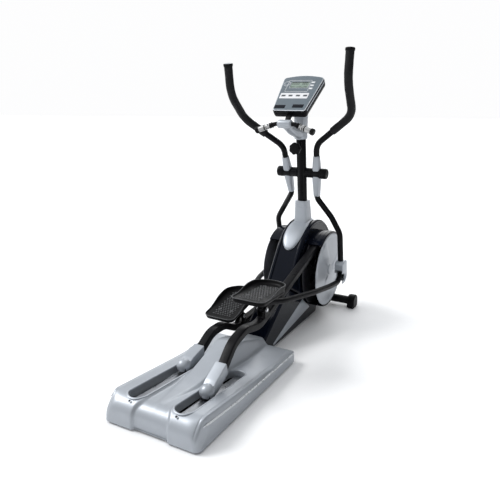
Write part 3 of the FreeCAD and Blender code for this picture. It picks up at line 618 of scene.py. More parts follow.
def mast_boot():
    levels = [(606, 54, 594, 722), (628, 49, 598, 714), (650, 46.5, 600, 706), (700, 44, 597.5, 697),
              (745, 42, 595, 688),
              (775, 41, 592.5, 682), (776, 39.6, 593.5, 681), (779, 39.6, 593.3, 680), (780, 40.8, 592, 681),
              (790, 40.4, 591, 679), (791, 39.2, 592, 678), (794, 39.2, 591.6, 677), (795, 40.2, 590.5, 678),
              (805, 39.8, 589.5, 676), (806, 38.6, 590.5, 675), (809, 38.6, 590.2, 674), (810, 39.5, 589, 675),
              (817, 39, 588, 672), (818.5, 37, 590, 670)]
    rings = []
    for z, half, rear, front in levels:
        corners = [(-half, rear + 9, 3), (-half + 9, rear, 3), (half - 9, rear, 3), (half, rear + 9, 3),
                   (half, front - 8, 5), (half - 8, front, 5), (8 - half, front, 5), (-half, front - 8, 5)]
        rings.append([Vector((*p, z)) for p in rounded_corners(corners, 30)])
    last = 148.0
    headings = [86 + (last - 86) * (1 - (1 - i / 39) ** 1.6) for i in range(40)]

    def tongue(heading):
        """The section of the tongue that lies over the housing's rim: its crowned top, then its underside."""
        reach = max(0.0, (heading - 121) / (last - 121))
        half = 63 * math.sqrt(max(0.0004, 1 - reach ** 2.3)) - 12 * smoothstep(112, 92, heading)
        section = []
        for k in range(25):
            u = -1 + 2 * k / 24
            lift = 8.0 * (1 - abs(u) ** 7) * smoothstep(0, 0.12, 1 - reach + 0.02) - 1.0 + 2.2 * (1 - u * u)
            section.append((half * u, 325.0 + lift))
        return section + [(half * u, 319.5) for u in (0.9, 0, -0.9)]
    return merged([loft(rings), arched(headings, tongue)])


piece("spine_shell", spine_cover(), "gloss_black", stands_for=["spine_cover"], angle=28)
piece("housing", housing(), "gloss_black", stands_for=["housing_shells"], angle=30)
RIB = [(84.6, 300), (86.6, 301.5), (86.6, 306.5), (84.6, 308)]
for side, word in SIDES:
    piece("housing_rib_" + word, arched(range(-28, 150, 4), RIB), "gloss_black", still(side), crown=0.8)
piece("spine_fins", spine_stripes(), "silver_plastic", stands_for=["spine_stripes"])
piece("boot_shell", mast_boot(), "silver_plastic", stands_for=["mast_boot"], angle=30)


# ---- crank shrouds and disc covers

def crank_shroud():
    """A deep hood round the crank wheel with three low ribs on its rim."""
    section = rounded_corners([(85, 249), (85, 259, 2), (189, 259, 7), (189, 244, 2), (183, 244, 2), (183, 253.5, 2),
                               (90, 253.5, 2), (90, 249)], 20)
    shapes = [arched([-113 + 242 * i / 82 for i in range(83)], section)]
    start, length, steps = -60, 186, 61
    fade = 4 * length / steps
    for x in (112, 138, 164):
        def rib(heading):
            grown = 2.2 * smoothstep(0, fade, heading - start) * smoothstep(0, fade, start + length - heading)
            return (x - 5, 257.5), (x - 2.5, 258.2 + grown), (x + 2.5, 258.2 + grown), (x + 5, 257.5)
        shapes.append(arched([start + length * i / steps for i in range(steps + 1)], rib))
    return merged(shapes)


def disc_face(radius, heading):
    """How far out the dished disc stands: a rolled edge, three broad raised petals and a hub cap."""
    lean = (heading - 123.5 + 60) % 120 - 60
    petal = 1 - smoothstep(17, 25, abs(lean - 10 * smoothstep(60, 230, radius)))
    petal *= smoothstep(40, 56, radius) * (1 - smoothstep(214, 224, radius))
    x = 190.2 + 3.4 * petal - 3.0 * smoothstep(50, 200, radius) + 3.0 * smoothstep(222, 232, radius)
    return x + 5.5 * (1 - smoothstep(33, 36, radius)) - 3.5 * max(0.0, (radius - 240) / 7) ** 2


def disc_cover():
    radii = [14, 24, 33, 34.5, 36, 40, 46, 52, 60, 75, 90, 110, 130, 150, 170, 190, 205, 214, 222, 226, 228, 232, 236,
             240, 243, 245, 246.5, 247]
    rows = [(radius, disc_face) for radius in radii]
    rows += [(radius, lambda radius, heading: 186.5) for radius in (247, 14)]
    return loft([[Vector((face(radius, heading), *polar(CRANK, radius, heading))) for heading in range(0, 360, 3)]
                 for radius, face in rows])


for side, word in SIDES:
    stood = (["crank_shrouds"], ["disc_covers"]) if side > 0 else ((), ())
    piece("crank_shroud_" + word, crank_shroud(), "gloss_black", still(side), stood[0], angle=30)
    piece("disc_cover_" + word, disc_cover(), "silver_plastic", still(side), stood[1], angle=30)


# ---- where the moving assemblies stand at rest

LINK_ON_BEAM = (595.0, 53.0)
BEAM_X, BEAM_END = 132.0, (1370.0, 0.0)
LINK_LENGTH, ARM_LENGTH = 888.0, 690.0
ARM_X = 101.0


def side_places(side, word):
    """Placements of one side's beam, foot link and swing arm."""
    rear = joint_place(word + "_beam_lift")
    pivot = joint_place(word + "_link_swing")
    beam_tilt = math.atan2(pivot[1] - rear[1], pivot[0] - rear[0]) - math.atan2(LINK_ON_BEAM[1], LINK_ON_BEAM[0])
    gap = Vector(pivot) - Vector(ARM_PIVOT)
    cosine = (ARM_LENGTH ** 2 + gap.length_squared - LINK_LENGTH ** 2) / (2 * ARM_LENGTH * gap.length)
    swing = math.atan2(gap.x, -gap.y) + math.acos(cosine)
    foot = Vector(ARM_PIVOT) + Vector((math.sin(swing), -math.cos(swing))) * ARM_LENGTH
    link_tilt = math.atan2(foot.y - pivot[1], foot.x - pivot[0])
    return (placed(rear, math.degrees(beam_tilt), side), placed(pivot, math.degrees(link_tilt), side),
            placed(ARM_PIVOT, math.degrees(swing), side))


def with_ends(points, steps=(0.5, 1.5, 3.5, 6.5)):
    """A path with extra points close to both ends."""
    head = points[0]
    tail = points[-1]
    ahead = (points[1] - head).normalized()
    back = (points[-2] - tail).normalized()
    opening = [head] + [head + ahead * s for s in steps]
    closing = [tail + back * s for s in reversed(steps)] + [tail]
    return opening + points[1:-1] + closing


def soft_tube(stations, radius, edge=2.0, sides=24, step=6, longest=30, taper=None):
    """A round tube along stations with rounded ends; taper(share) scales its radius."""
    def size(length, total):
        reach = min(length, total - length)
        inset = edge - math.sqrt(max(0.0, edge ** 2 - (edge - min(reach, edge)) ** 2))
        grow = taper(length / total) if taper else 1.0
        return grow - inset / radius
    points = path_points(stations, step, longest)
    return sweep(with_ends(points), circle(radius, sides), scale=size)


# ---- beams and foot links

def beam():
    path = path_points([(BEAM_X, 44, 8.2), (BEAM_X, 150, 28, 200), (BEAM_X, 262, 84, 160), (BEAM_X, 385, 76, 160),
                        (BEAM_X, 520, 0, 200), (BEAM_X, 1356, 0)], 2.5, 70)
    shapes = [sweep(path, rounded_rectangle(50, 40, 7), (1, 0, 0)), soft_rod((102.8, 159), 24, 2, BEAM_END),
              soft_rod((158, 161), 14, 1, BEAM_END)]
    for x in ((107, 114.5), (149.5, 157)):
        shapes.append(plate(x, [(-20, -16, 15), (-20, 18, 17), (70, 33, 4), (70, -7, 4)], 1.5))
    for x in ((107, 113), (151, 157)):
        shapes.append(plate(x, [(569, 10), (571, 48, 8), (578, 70, 16), (612, 70, 16), (619, 48, 8), (621, 10)], 1.2))
    return merged(shapes)


def beam_cover():
    outline = rounded_corners([(-22, -22, 8), (-22, 16, 8), (40, 42, 50), (146, 62, 3), (146, 2, 3), (40, -22, 20)], 8)
    return hull(divided(outline, 22), edge_stations((100, 164), 5, 4))


def roller_dome():
    """The ball-shaped dome that the cover swells into over the roller."""
    profile = []
    for k in range(25):
        a = math.pi * (k + 0.02) / 24.04
        profile.append((math.cos(a), math.sin(a)))
    return spun(profile, lambda c, u, v: Vector((BEAM_X - 38 * c, -4 + 38 * u, 11 + 37 * v)), 40)


def cover_hollow():
    inner = [(-60, -60), (-60, -16), (-31, -16), (-31, 14, 16), (-12, 31, 16), (10, 31, 20), (50, 38, 50), (170, 60),
             (170, -60)]
    return hull(rounded_corners(inner, 12), [(103.5, 0), (160.5, 0)])


def dome_foot():
    """The space under the dome, down to the deck's slot."""
    return rounded_box((80, 184), (-60, 60), (-60, -17), 2)


def headed_pin(inner, outer, radius):
    """A pin with a washer and a hexagon head on each end."""
    shapes = [soft_rod((inner[1] - 2, outer[0] + 2), 8, 0.5)]
    for head, washer in (((inner[0], inner[1] - 2), (inner[1] - 2, inner[1])),
                         ((outer[0] + 2, outer[1]), (outer[0], outer[0] + 2))):
        shapes.append(lathe([(x, radius - 2 - inset) for x, inset in edge_stations(head, 1)], 6))
        shapes.append(soft_rod(washer, radius, 0.6))
    return merged(shapes)


def foot_link():
    run = [(134, 0, 40), (190, 150, 15, 260), (250, 486, -12, 500), (262, 700, -32, 260), (266, 832, -38, 55),
           (266, 880, -2)]
    shapes = [soft_tube(run, 17.5, 3, 26, 5, 45), soft_rod((115, 149), 17, 1.5)]
    for x in ((117, 123), (141, 147)):
        shapes.append(plate(x, [(-17, -8, 12), (17, -8, 12), (40, 100, 6), (-64, 100, 6)], 1.5))
    shapes.append(rounded_box((78, 212), (-152, 84), (96, 104), 3))
    shapes.append(soft_rod((250, 282), 20, 1.5, (LINK_LENGTH, 0)))
    shapes.append(soft_rod((245, 287), 7, 1, (LINK_LENGTH, 0)))
    return merged(shapes)


# ---- pedals

PEDAL_X, PEDAL_Y = (52.0, 242.0), (-220.0, 115.0)
TRAY_FLOOR = 111.0


def pedal_outline():
    (left, right), (heel, toe) = PEDAL_X, PEDAL_Y
    corners = [(left, heel, 34), (right, heel, 34), (right, toe, 92), (left, toe, 84)]
    return divided(rounded_corners(corners, 7), 14)


def wall_height(point):
    """The wall's top: low behind, an S-shaped rise along the sides, a little lower across the toe."""
    ahead = (point.y - PEDAL_Y[0]) / (PEDAL_Y[1] - PEDAL_Y[0])
    return 117 + 27 * smoothstep(0.2, 0.62, ahead) - 8 * smoothstep(0.72, 1.0, ahead)


def pedal():
    """A scooped foot tray: a thick body, a rolled rim and a floor that sweeps up into the walls."""
    body = [(26, 88), (10, 89.5), (3, 94), (0.5, 101), (0.5, 106), (2, 108), (2, 110), (0, 112)]
    rim = [(-1.5, -14), (-3, -4), (-3.2, -1.8), (-2, -0.4), (0, 0), (2.4, -0.3), (4, -1.6), (4.8, -5)]
    bowl = [(6.5, 0.66), (9, 0.42), (13, 0.22), (18, 0.09), (24, 0.02), (31, 0)]
    rows = [(out, lambda wall, z=z: z) for out, z in body]
    rows += [(out, lambda wall, z=z: max(112.5, wall + z)) for out, z in rim]
    rows += [(out, lambda wall, share=share: TRAY_FLOOR + (wall - 5 - TRAY_FLOOR) * share) for out, share in bowl]
    return skin(pedal_outline(), rows, lambda at, height, start: Vector((*at, height(wall_height(start)))))


def pedal_rim():
    """The smooth bead that runs round the top of the tray's wall, in a paler black that paints a highlight along it.
    """
    outline = pedal_outline()
    path = [Vector((*(point - normal * 1.6), wall_height(point) - 0.6))
            for point, normal in zip(outline, normals(outline))]
    rings = []
    for i, point in enumerate(path):
        along = (path[(i + 1) % len(path)] - path[i - 1]).normalized()
        across = along.cross(Vector((0, 0, 1))).normalized()
        rings.append([point + across * a + across.cross(along) * b for a, b in circle(1.9, 10)])
    return loft(rings, looped=True)


def pedal_tread():
    """Rows of small oval studs on the tray's floor, and four screws."""
    shapes = []
    for row in range(15):
        for column in range(8):
            x = PEDAL_X[0] + 39 + 15.5 * column + (7.7 if row % 2 else 0)
            if x <= PEDAL_X[1] - 36:
                levels = [(z, 5.4 * size) for z, size in ((110.6, 1.0), (112.6, 0.96), (113.8, 0.8), (114.4, 0.45))]
                shapes.append(upright(levels, (x, PEDAL_Y[0] + 42 + 16.5 * row), 12, 4.2 / 5.4))
    for x in (PEDAL_X[0] + 58, PEDAL_X[1] - 58):
        for y in (-128, 62):
            shapes.append(upright([(110.6, 9), (112.6, 9), (113.4, 8), (113.4, 4), (111.6, 3.4)], (x, y), 18))
    return merged(shapes)


# ---- swing arms

UPPER_RUN = [(ARM_X, 0, 0), (ARM_X, 0, 185, 90), (337, -10, 375, 110), (338, -104, 580, 200), (336, -64, 742)]
GRIP_RUN = [(207, -4.5, 270.3)] + UPPER_RUN[2:]
LOWER_RUN = [(ARM_X, 0, 0), (ARM_X, 0, -165, 80), (188, 32, -296, 120), (254, 16, -400, 110), (266, 2, -640)]


def arm():
    return merged([soft_tube(UPPER_RUN, 19, 2, 24, 6, 60), soft_tube(LOWER_RUN, 18.5, 2, 24, 6, 60),
                   soft_rod((76.2, 129.2), 31, 2),
                   lathe([(76.6, 20), (77, 32.2), (80, 32.6), (83, 32.2), (83.5, 29)]),
                   lathe([(122, 29), (122.5, 32.2), (125.5, 32.6), (128.4, 32.2), (129, 20)])])


def arm_sleeve(way, length, wide, narrow):
    """A tapered moulding with a soft square section round the arm beside its hub."""
    rings = []
    for share, grow in ((0, -2.0), (0.01, -0.6), (0.03, 0), (0.25, 0), (0.5, 0), (0.75, 0), (0.95, 0), (0.98, -0.6),
                        (1, -2.2)):
        half = wide + (narrow - wide) * smoothstep(0, 1.15, share) + grow
        section = rounded_rectangle(2 * half, 2 * half * 0.96, half * 0.62, 11)
        rings.append([Vector((ARM_X + a, b, way * (13 + (length - 13) * share))) for a, b in section])
    return loft(rings)


def foam_grip():
    """Soft foam over the bent upper arm, rounded at both ends and very slightly uneven."""
    points = with_ends(path_points(GRIP_RUN, 5, 12), (0.4, 1.2, 2.6, 4.6, 7))

    def size(length, total):
        reach = min(length, total - length, 7)
        inset = 7 - math.sqrt(max(0.0, 49 - (7 - reach) ** 2))
        wave = 0.25 * math.sin(length * 0.061) + 0.18 * math.sin(length * 0.137 + 1)
        return 1 + (wave - inset) / 25
    return sweep(points, circle(25, 36), scale=size)


def grip_cap(profile):
    """Turned about the grip's end: profile is a list of (distance beyond the foam, radius)."""
    end = Vector(GRIP_RUN[-1])
    along = (end - Vector(GRIP_RUN[-2][:3])).normalized()
    side = along.orthogonal().normalized()
    up = along.cross(side)
    return spun(profile, lambda reach, a, b: end + along * reach + side * a + up * b, 36)


def joint_cover():
    outline = [(-40, -738, 8), (16, -742, 14), (48, -700, 12), (44, -596, 12), (20, -586, 6), (-24, -586, 6),
               (-40, -602, 6)]
    shapes = [hull(divided(rounded_corners(outline, 9), 26), edge_stations((237, 295), 5, 4))]
    for step in range(4):
        y, z = -10 + 4 * step, -730 + 10 * step
        for x in ((294, 297), (235, 238)):
            shapes.append(plate(x, [(y, z), (36, z + 12), (36, z + 16), (y, z + 4)], 0.8))
    return merged(shapes)


def joint_hollow():
    inner = [(-70, -760), (0, -760), (34, -716, 12), (33, -638, 10), (-16, -632, 12), (-70, -650)]
    return hull(rounded_corners(inner, 12), [(242.5, 0), (289.5, 0)])


def joint_side_window():
    """The C-shaped opening through the cover's cheeks round the link's pin."""
    inner = [(-70, -716), (-4, -716, 16), (-4, -668, 16), (-70, -660)]
    return hull(rounded_corners(inner, 10), [(230, 0), (300, 0)])


# ---- everything on one side

def side_pieces(side, word):
    at_beam, at_link, at_arm = side_places(side, word)

    def add(name, shape, slot, body, place, node=None, **more):
        stands_for = [word + "_" + node] if node else ()
        return piece(name + "_" + word, shape, slot, place, stands_for, word + body, **more)

    add("roller_beam", beam(), "frame_paint", "_beam_assembly", at_beam, "beam", angle=35)
    add("roller_cover", beam_cover(), "silver_plastic", "_beam_assembly", at_beam, "beam_cover", cut=[cover_hollow()],
        angle=30)
    add("roller_dome", roller_dome(), "silver_plastic", "_beam_assembly", at_beam, cut=[dome_foot(), cover_hollow()],
        angle=50)
    add("link_bolt", headed_pin((100, 106.8), (157.2, 164), 12), "chrome", "_link_pivot", at_link, "link_pin")
    add("crank_bolt", lathe([(160.5, 9), (165, 9), (166, 8)], 6, BEAM_END), "chrome", "_beam_assembly", at_beam)
    add("pedal_carrier", foot_link(), "frame_paint", "_link_assembly", at_link, "foot_link")
    add("foot_tray", pedal(), "matte_black", "_link_assembly", at_link, "pedal", angle=50)
    add("foot_rim", pedal_rim(), "matte_black", "_link_assembly", at_link, finish="rim_painted_highlight")
    add("foot_tread", pedal_tread(), "rubber", "_link_assembly", at_link, finish="tread", angle=50)
    add("swing_tube", arm(), "frame_paint", "_swing_arm", at_arm, "arm")
    add("sleeve_upper", arm_sleeve(1, 112, 26, 20), "silver_plastic", "_swing_arm", at_arm, "arm_sleeves")
    add("sleeve_lower", arm_sleeve(-1, 150, 26.5, 19.5), "silver_plastic", "_swing_arm", at_arm)
    foam = add("foam_grip", foam_grip(), "foam", "_swing_arm", at_arm, "grip", angle=60)
    cap = [(-9, 21), (-6, 26.5), (-2, 28), (5, 28.6), (9, 28), (11, 26), (11.6, 23)]
    add("grip_cap", grip_cap(cap), "matte_black", "_swing_arm", at_arm)
    disc = [(10, 20.5), (12, 20.5), (12.6, 19.5), (12.8, 8), (12.9, 1)]
    add("grip_cap_disc", grip_cap(disc), "silver_plastic", "_swing_arm", at_arm)
    add("link_joint_cover", joint_cover(), "silver_plastic", "_swing_arm", at_arm, "joint_cover",
        cut=[joint_hollow(), joint_side_window()], angle=30)


# ---- mast, cross tube, knob and feet

def cross_tube():
    return merged([soft_rod((-74, 74), 31, 1.5, ARM_PIVOT)]
                  + [soft_rod(span(x, 8), 32.5, 2, ARM_PIVOT) for x in (-30, 30)])


def axle_caps():
    return both(lathe([(130.5, 30), (131.5, 33), (134, 33.6), (158, 33.6), (165, 33), (169.5, 30.5), (172, 26),
                       (172.2, 21), (170.6, 20), (170.4, 12), (171.4, 10), (171.6, 1)], centre=ARM_PIVOT))


KNOB_AXIS = (0, 1166)


def about_y(profile, centre, lobes=0, depth=0.0, sides=72):
    """Turned about a line along Y through (x, z): profile is (y, radius), with optional lobes round the rim."""
    rings = []
    for y, radius in profile:
        ring = []
        for k in range(sides):
            a = 2 * math.pi * k / sides
            grown = radius + depth * (radius / profile[2][1]) * math.cos(lobes * a)
            ring.append(Vector((centre[0] + grown * math.cos(a), y, centre[1] + grown * math.sin(a))))
        rings.append(ring)
    return loft(rings)


def knob():
    head = about_y([(469, 20), (470, 28), (473, 34), (478, 37), (492, 37), (497, 33), (500, 22)], KNOB_AXIS, 7, 1.7)
    hollow = about_y([(468.4, 14), (468.2, 16), (469.4, 18), (469.8, 20)], KNOB_AXIS)
    collar = about_y([(499, 17), (505, 15), (512, 11), (514, 7), (545, 7)], KNOB_AXIS, sides=32)
    return merged([head, hollow, collar])


def front_feet():
    outline = [(925, 0, 14), (1020, 0, 14), (1020, 95, 44), (925, 95, 44)]
    cap = hull(divided(rounded_corners(outline, 8), 24), edge_stations((252, 300), 9, 5))
    collar = plate((249, 256), [(928, 3, 12), (1017, 3, 12), (1017, 92, 42), (928, 92, 42)], 1.5)
    return both(merged([cap, collar]))


def rear_feet():
    return merged([upright([(0.2, radius - 3), (1.5, radius - 1), (4, radius), (11, radius - 1.5), (14, radius - 3)],
                           (x, y), 32)
                   for x, y, radius in ((205, -930, 20), (-205, -930, 20), (150, -450, 18), (-150, -450, 18))])


for side, word in SIDES:
    side_pieces(side, word)
piece("arm_cross_tube", cross_tube(), "frame_paint", stands_for=["cross_tube"])
piece("arm_axle_caps", axle_caps(), "frame_paint", angle=30)
piece("height_knob", knob(), "matte_black", stands_for=["mast_knob"], body="clamp_knob", angle=50)
piece("front_end_caps", front_feet(), "matte_black", stands_for=["floor_feet"])
piece("rear_pads", rear_feet(), "rubber")


def screw_head(radius, depth):
    """A domed screw head along X, with a thin matte black cross laid on it: painted shade standing for the cross cut
    into the head.
    """
    rings = [(0, radius * 0.96), (0.3 * depth, radius), (0.7 * depth, radius * 0.9), (depth, radius * 0.55)]
    head = lathe([(-0.5, radius * 0.8)] + rings, 20)
    slot_shade = [plate((depth - 0.25, depth + 0.15), [(-a, -b), (a, -b), (a, b), (-a, b)], 0.1)
             for a, b in ((radius * 0.42, radius * 0.1), (radius * 0.1, radius * 0.42))]
    return head, merged(slot_shade)


def all_screws():
    """Screw heads and their black crosses, painted shade for the cut slots: four on each side of the housing, two on
    the deck.
    """
    places = [(5, 1.8, still(side) @ Matrix.Translation((85, *polar(CRANK, 298, heading))))
              for side, word in SIDES for heading in (-12, 62, 105, 146)]
    slope = Matrix.Rotation(math.radians(26), 4, "X") @ Matrix.Rotation(math.radians(-90), 4, "Y")
    places += [(6, 1.6, Matrix.Translation((x, -985, deck_top(-985) - 0.6)) @ slope) for x in (131, -131)]
    pairs = [[moved(shape, place) for shape in screw_head(radius, depth)] for radius, depth, place in places]
    return [merged(shapes) for shapes in zip(*pairs)]


heads, cross_shade = all_screws()
piece("cover_screw_heads", heads, "chrome", stands_for=["cover_screws"], finish="dark_screw")
# The crosses are matte black plates on the screw heads: painted shade in their slots.
piece("cover_screw_cross_shade", cross_shade, "matte_black")


# ---- console

ON_FACE = placed((367, 1395), 40.6) @ Matrix(((0, 1, 0, 0), (0, 0, 1, 0), (1, 0, 0, 0), (0, 0, 0, 1)))
CONSOLE = [(-107, 0, 18), (107, 0, 18), (136, 300, 24), (0, 336, 400), (-136, 300, 24)]
SCREEN = (-5.5, 231.0, 121.0, 54.0)
DIAL = (-95.0, 243.0)
INK = (1.7, 1.95)
KEYS = [(p, 132.0, 26.0, 14.0) for p in (-79, -32, 17, 64)] + [(78.0, q, 22.0, 13.0) for q in (253, 225, 197)]


def console_slab(stations):
    """A solid over the console's outline: stations are (height out of the face, inset)."""
    return hull(divided(rounded_corners(CONSOLE, 6), 20), stations)


def flat_pad(p, q, n, corner=3.0, edge=0.4):
    """A low pad on the console's face over the spans p and q, between the heights n."""
    return plate(n, square(p, q, corner), edge)


def centred_pad(place, n, corner, edge, grow=0.0):
    """A pad over place (middle p, middle q, width, height), made larger all round by grow."""
    p, q, width, height = place
    return flat_pad(span(p, width + 2 * grow), span(q, height + 2 * grow), n, corner, edge)


def outline_strip(p, q, corner, width, low, high):
    """A thin raised line round a rectangle on the face."""
    return skin(rounded_corners(square(p, q, corner), 10), [(0, low), (0.2, high), (width - 0.2, high), (width, low)],
                lambda at, n, start: Vector((n, *at)), looped=True)


def digit(p, q, size):
    """A nought made of six bars."""
    thick = size * 0.09
    shapes = []
    for a, b, c, d in ((0, 1, 1, 1), (0, 0, 1, 0), (0, 0.5, 0, 1), (1, 0.5, 1, 1), (0, 0, 0, 0.5), (1, 0, 1, 0.5)):
        lean = -thick if a == c else thick
        shapes.append(flat_pad((p + a * size * 0.55 + lean, p + c * size * 0.55 - lean),
                               (q + b * size - lean, q + d * size + lean), INK, 0.2, 0.02))
    return shapes


def readouts():
    """Numerals, a colon, a bar chart and a dark band along the top of the liquid crystal panel."""
    shapes = [flat_pad((-63, 52), (253, 256.5), INK, 0.6, 0.02)]
    for p, q, size, count in ((-60, 236, 15, 4), (8, 236, 15, 3), (-60, 209, 10, 3)):
        for i in range(count):
            shapes += digit(p + i * size * 0.86, q, size)
    for q in (240, 246):
        shapes.append(flat_pad((-36.4, -35), (q, q + 1.6), INK, 0.3, 0.02))
    for i in range(12):
        height = 3 + 3.2 * (2 - abs(i % 6 - 3) * 0.6)
        shapes.append(flat_pad((-22 + 6 * i, -18 + 6 * i), (209, 209 + height), INK, 0.3, 0.02))
    return merged(shapes)


def dial_graphic():
    """A round printed graphic beside the screen: two rings and twelve ticks."""
    shapes = []
    for inner, outer in ((20, 22), (9.5, 10.5)):
        section = ((inner, 2.6), (inner + 0.2, 3.2), (outer - 0.2, 3.2), (outer, 2.6))
        shapes.append(loft([[Vector((n, DIAL[0] + r * a, DIAL[1] + r * b)) for r, n in section]
                            for a, b in circle(1, 60)], looped=True))
    tick = plate((2.6, 3.2), [(13, -0.8), (17.5, -0.8), (17.5, 0.8), (13, 0.8)], 0.1)
    return merged(shapes + [moved(tick, placed(DIAL, 30 * k)) for k in range(12)])


def console():
    body = console_slab([(-58, 26), (-57, 16), (-54.5, 9), (-50, 4.5), (-43, 1.6), (-34, 0.5), (-26, 0), (-24.5, 0),
                         (-24, 1.6), (-22, 1.6), (-21.5, 0), (-9, 0), (-8.5, 1.4), (-6.8, 1.4), (-6.4, 0.3), (-3, 0.6),
                         (-1.2, 2.6)])
    band = console_slab([(-20.5, 1), (-20, -0.5), (-11, -0.5), (-10.5, 1)])
    border = console_slab([(-5, 3), (-1.5, 1.6), (0.6, 2.2), (1.6, 3.4), (1.8, 5)])
    overlay = console_slab([(-3, 6.5), (2.2, 6.2), (2.9, 6.8), (3, 8)])
    foot = hull([Vector(v[:2]) for v in square((-200, 200), (-50, 22), 0)], [(-40, 0), (10, 0)])
    holes = [centred_pad(key, (-9, 9), 3.2, 0.01, 0.4) for key in KEYS]
    window = centred_pad(SCREEN, (-9, 9), 3, 0.01, 0.3)
    lines = [outline_strip((-87, 65), (168, 274), 8, 2.2, 2.6, 3.5),
             outline_strip((-69, 57), (201, 261), 4, 1.6, 2.6, 3.3), dial_graphic()]
    pads = [flat_pad((-104, -32), (19, 48), (2.2, 3.6), 3, 0.5), flat_pad((14, 85), (25, 54), (2.2, 3.6), 3, 0.5)]
    piece("console_shell", body, "matte_black", ON_FACE, ["console_body"], angle=32)
    piece("console_side_band", band, "silver_plastic", ON_FACE, cut=[foot])
    piece("console_border", border, "light_key", ON_FACE, cut=holes + [window], finish="border")
    piece("console_overlay", overlay, "bezel", ON_FACE, ["console_face"], cut=holes + [window])
    piece("console_glass", centred_pad(SCREEN, (-2.8, 1.6), 3, 0.5), "screen", ON_FACE, ["console_screen"])
    piece("console_readouts", readouts(), "screen", ON_FACE, finish="segments")
    piece("console_lines", merged(lines), "light_key", ON_FACE)
    piece("console_key_strip", flat_pad((-102, 84), (107, 156), (2.2, 3.5), 5, 0.5), "light_key", ON_FACE,
          cut=holes[:4])
    piece("console_black_pads", merged(pads), "gloss_black", ON_FACE)
    names = ["menu_key_%d" % k for k in (1, 2, 3, 4)] + ["side_key_%d" % k for k in (1, 2, 3)]
    for node, key in zip(names, KEYS):
        p, q, width, height = key
        dish = outline_strip(span(p, width - 4), span(q, height - 4), 2, 0.8, 4.3, 4.95)
        cap = merged([centred_pad(key, (-5.5, 4.6), 3, 1.1), dish])
        piece(node + "_cap", cap, "dark_key" if node.startswith("menu") else "light_key", ON_FACE, [node],
              node + "_button")


console()


# ---- handlebar

BAR_MIDDLE = (328, 1320)
BAR = [(-186, 320, 1278), (-60, *BAR_MIDDLE, 60), (60, *BAR_MIDDLE, 60), (186, 320, 1278)]


def bar_sleeve(reach, radius, edge):
    """A sleeve round the hand bar's sloping end between two distances from the middle, on both sides."""
    bend = Vector(BAR[2][:3])
    tip = Vector(BAR[3])
    ends = [tuple(bend + (tip - bend) * ((x - bend.x) / (tip.x - bend.x))) for x in reach]
    return both(soft_tube(ends, radius, edge, 32, longest=8))


def yoke():
    """The faceted collar on the mast, the rounded neck and the clamp on the hand bar."""
    foot, top = Vector((0, 572, 1222)), Vector((0, 563.6, 1281))
    sizes = ((0, 0.9), (0.03, 0.96), (0.08, 1), (0.5, 0.99), (0.9, 0.97), (0.97, 0.93), (1, 0.86))
    collar = sweep([foot.lerp(top, share) for share, size in sizes], circle(43, 10), (1, 0, 0),
                   lambda length, total: between(sizes, length / total))
    neck = soft_tube([(0, 562, 1252), (0, 420, 1278, 120), (0, 334, 1316)], 26, 4, 32, 5, 14,
                     lambda share: 1.3 - 0.36 * smoothstep(0.1, 0.8, share))
    clamp = [soft_rod(x, radius, edge, BAR_MIDDLE)
             for x, radius, edge in (((-42, 42), 25.5, 6), ((-44.5, -38), 21, 2), ((38, 44.5), 21, 2))]
    return merged([collar, neck] + clamp)


def console_post():
    outline = [(530, 1258, 6), (602, 1258, 12), (594, 1530), (518, 1530)]
    return hull(divided(rounded_corners(outline, 12), 40), edge_stations((-34, 34), 9, 4))


def post_lines():
    """Fine slanted ribs on the console post's two cheeks."""
    shapes = []
    for i in range(12):
        z = 1292 + 11.5 * i
        y = 538 - (z - 1222) * 0.065
        shapes.append(plate((33.2, 34.9), [(y + 9, z), (y + 56, z + 15), (y + 56, z + 17.5), (y + 9, z + 2.5)], 0.5))
    return both(merged(shapes))


back = [moved(console_slab([(-54, 3), (200, 3)]), ON_FACE)]
piece("bar_yoke", yoke(), "silver_plastic", stands_for=["handlebar_yoke"], angle=28)
piece("console_post", console_post(), "silver_plastic", cut=back, angle=30)
piece("console_post_lines", post_lines(), "silver_plastic", cut=back)
strut = [(0, 352, 1322), (0, 372, 1352, 30), (0, 412, 1392)]
piece("console_strut", sweep(path_points(strut, 8, 12), rounded_rectangle(34, 16, 5), (1, 0, 0)), "matte_black")
piece("hand_bar", soft_tube(BAR, 13, 2, 28, 5, 20), "frame_paint", stands_for=["handlebar_tubes"])
piece("hand_bar_sleeves", merged([bar_sleeve((80, 97), 17.6, 1.5), bar_sleeve((128, 133), 17.5, 1),
                                  bar_sleeve((168, 190), 20, 5)]), "matte_black")
piece("pulse_grips", merged([bar_sleeve((97.2, 127.8), 16.6, 1), bar_sleeve((133.2, 167.8), 16.6, 1)]), "pulse_steel",
      stands_for=["pulse_plates"])


# ---- carried CAD nodes

def dress(node, finish):
    """A CAD node kept as it is, with rounded edges and its material."""
    made = frame["nodes"][node]
    made.data.materials.clear()
    made.data.materials.append(LOOKS[finish])
    weld = made.modifiers.new("weld", "WELD")
    weld.merge_threshold = WELD_REACH
    round_edges(made, 1.2, 30, 2).harden_normals = True


KEPT = {
    "frame_paint": "base_frame front_stabilizer mast",
    "track_steel": "track_rails",
    "steel": "arm_axle drive_bearings right_roller_axle left_roller_axle",
    "cast_alloy": "crank_set drive_pulley",
    "cast_iron": "flywheel",
    "rubber": "drive_belt",
    "matte_black": "idler_wheel brake_unit",
    "roller_tyre": "right_roller left_roller",
    "bronze": "right_arm_bush left_arm_bush",
}
for finish, nodes in KEPT.items():
    for node in nodes.split():
        dress(node, finish)


# ---- floor, light and camera

SKY_UP = (-0.42, -0.05, 0.9)


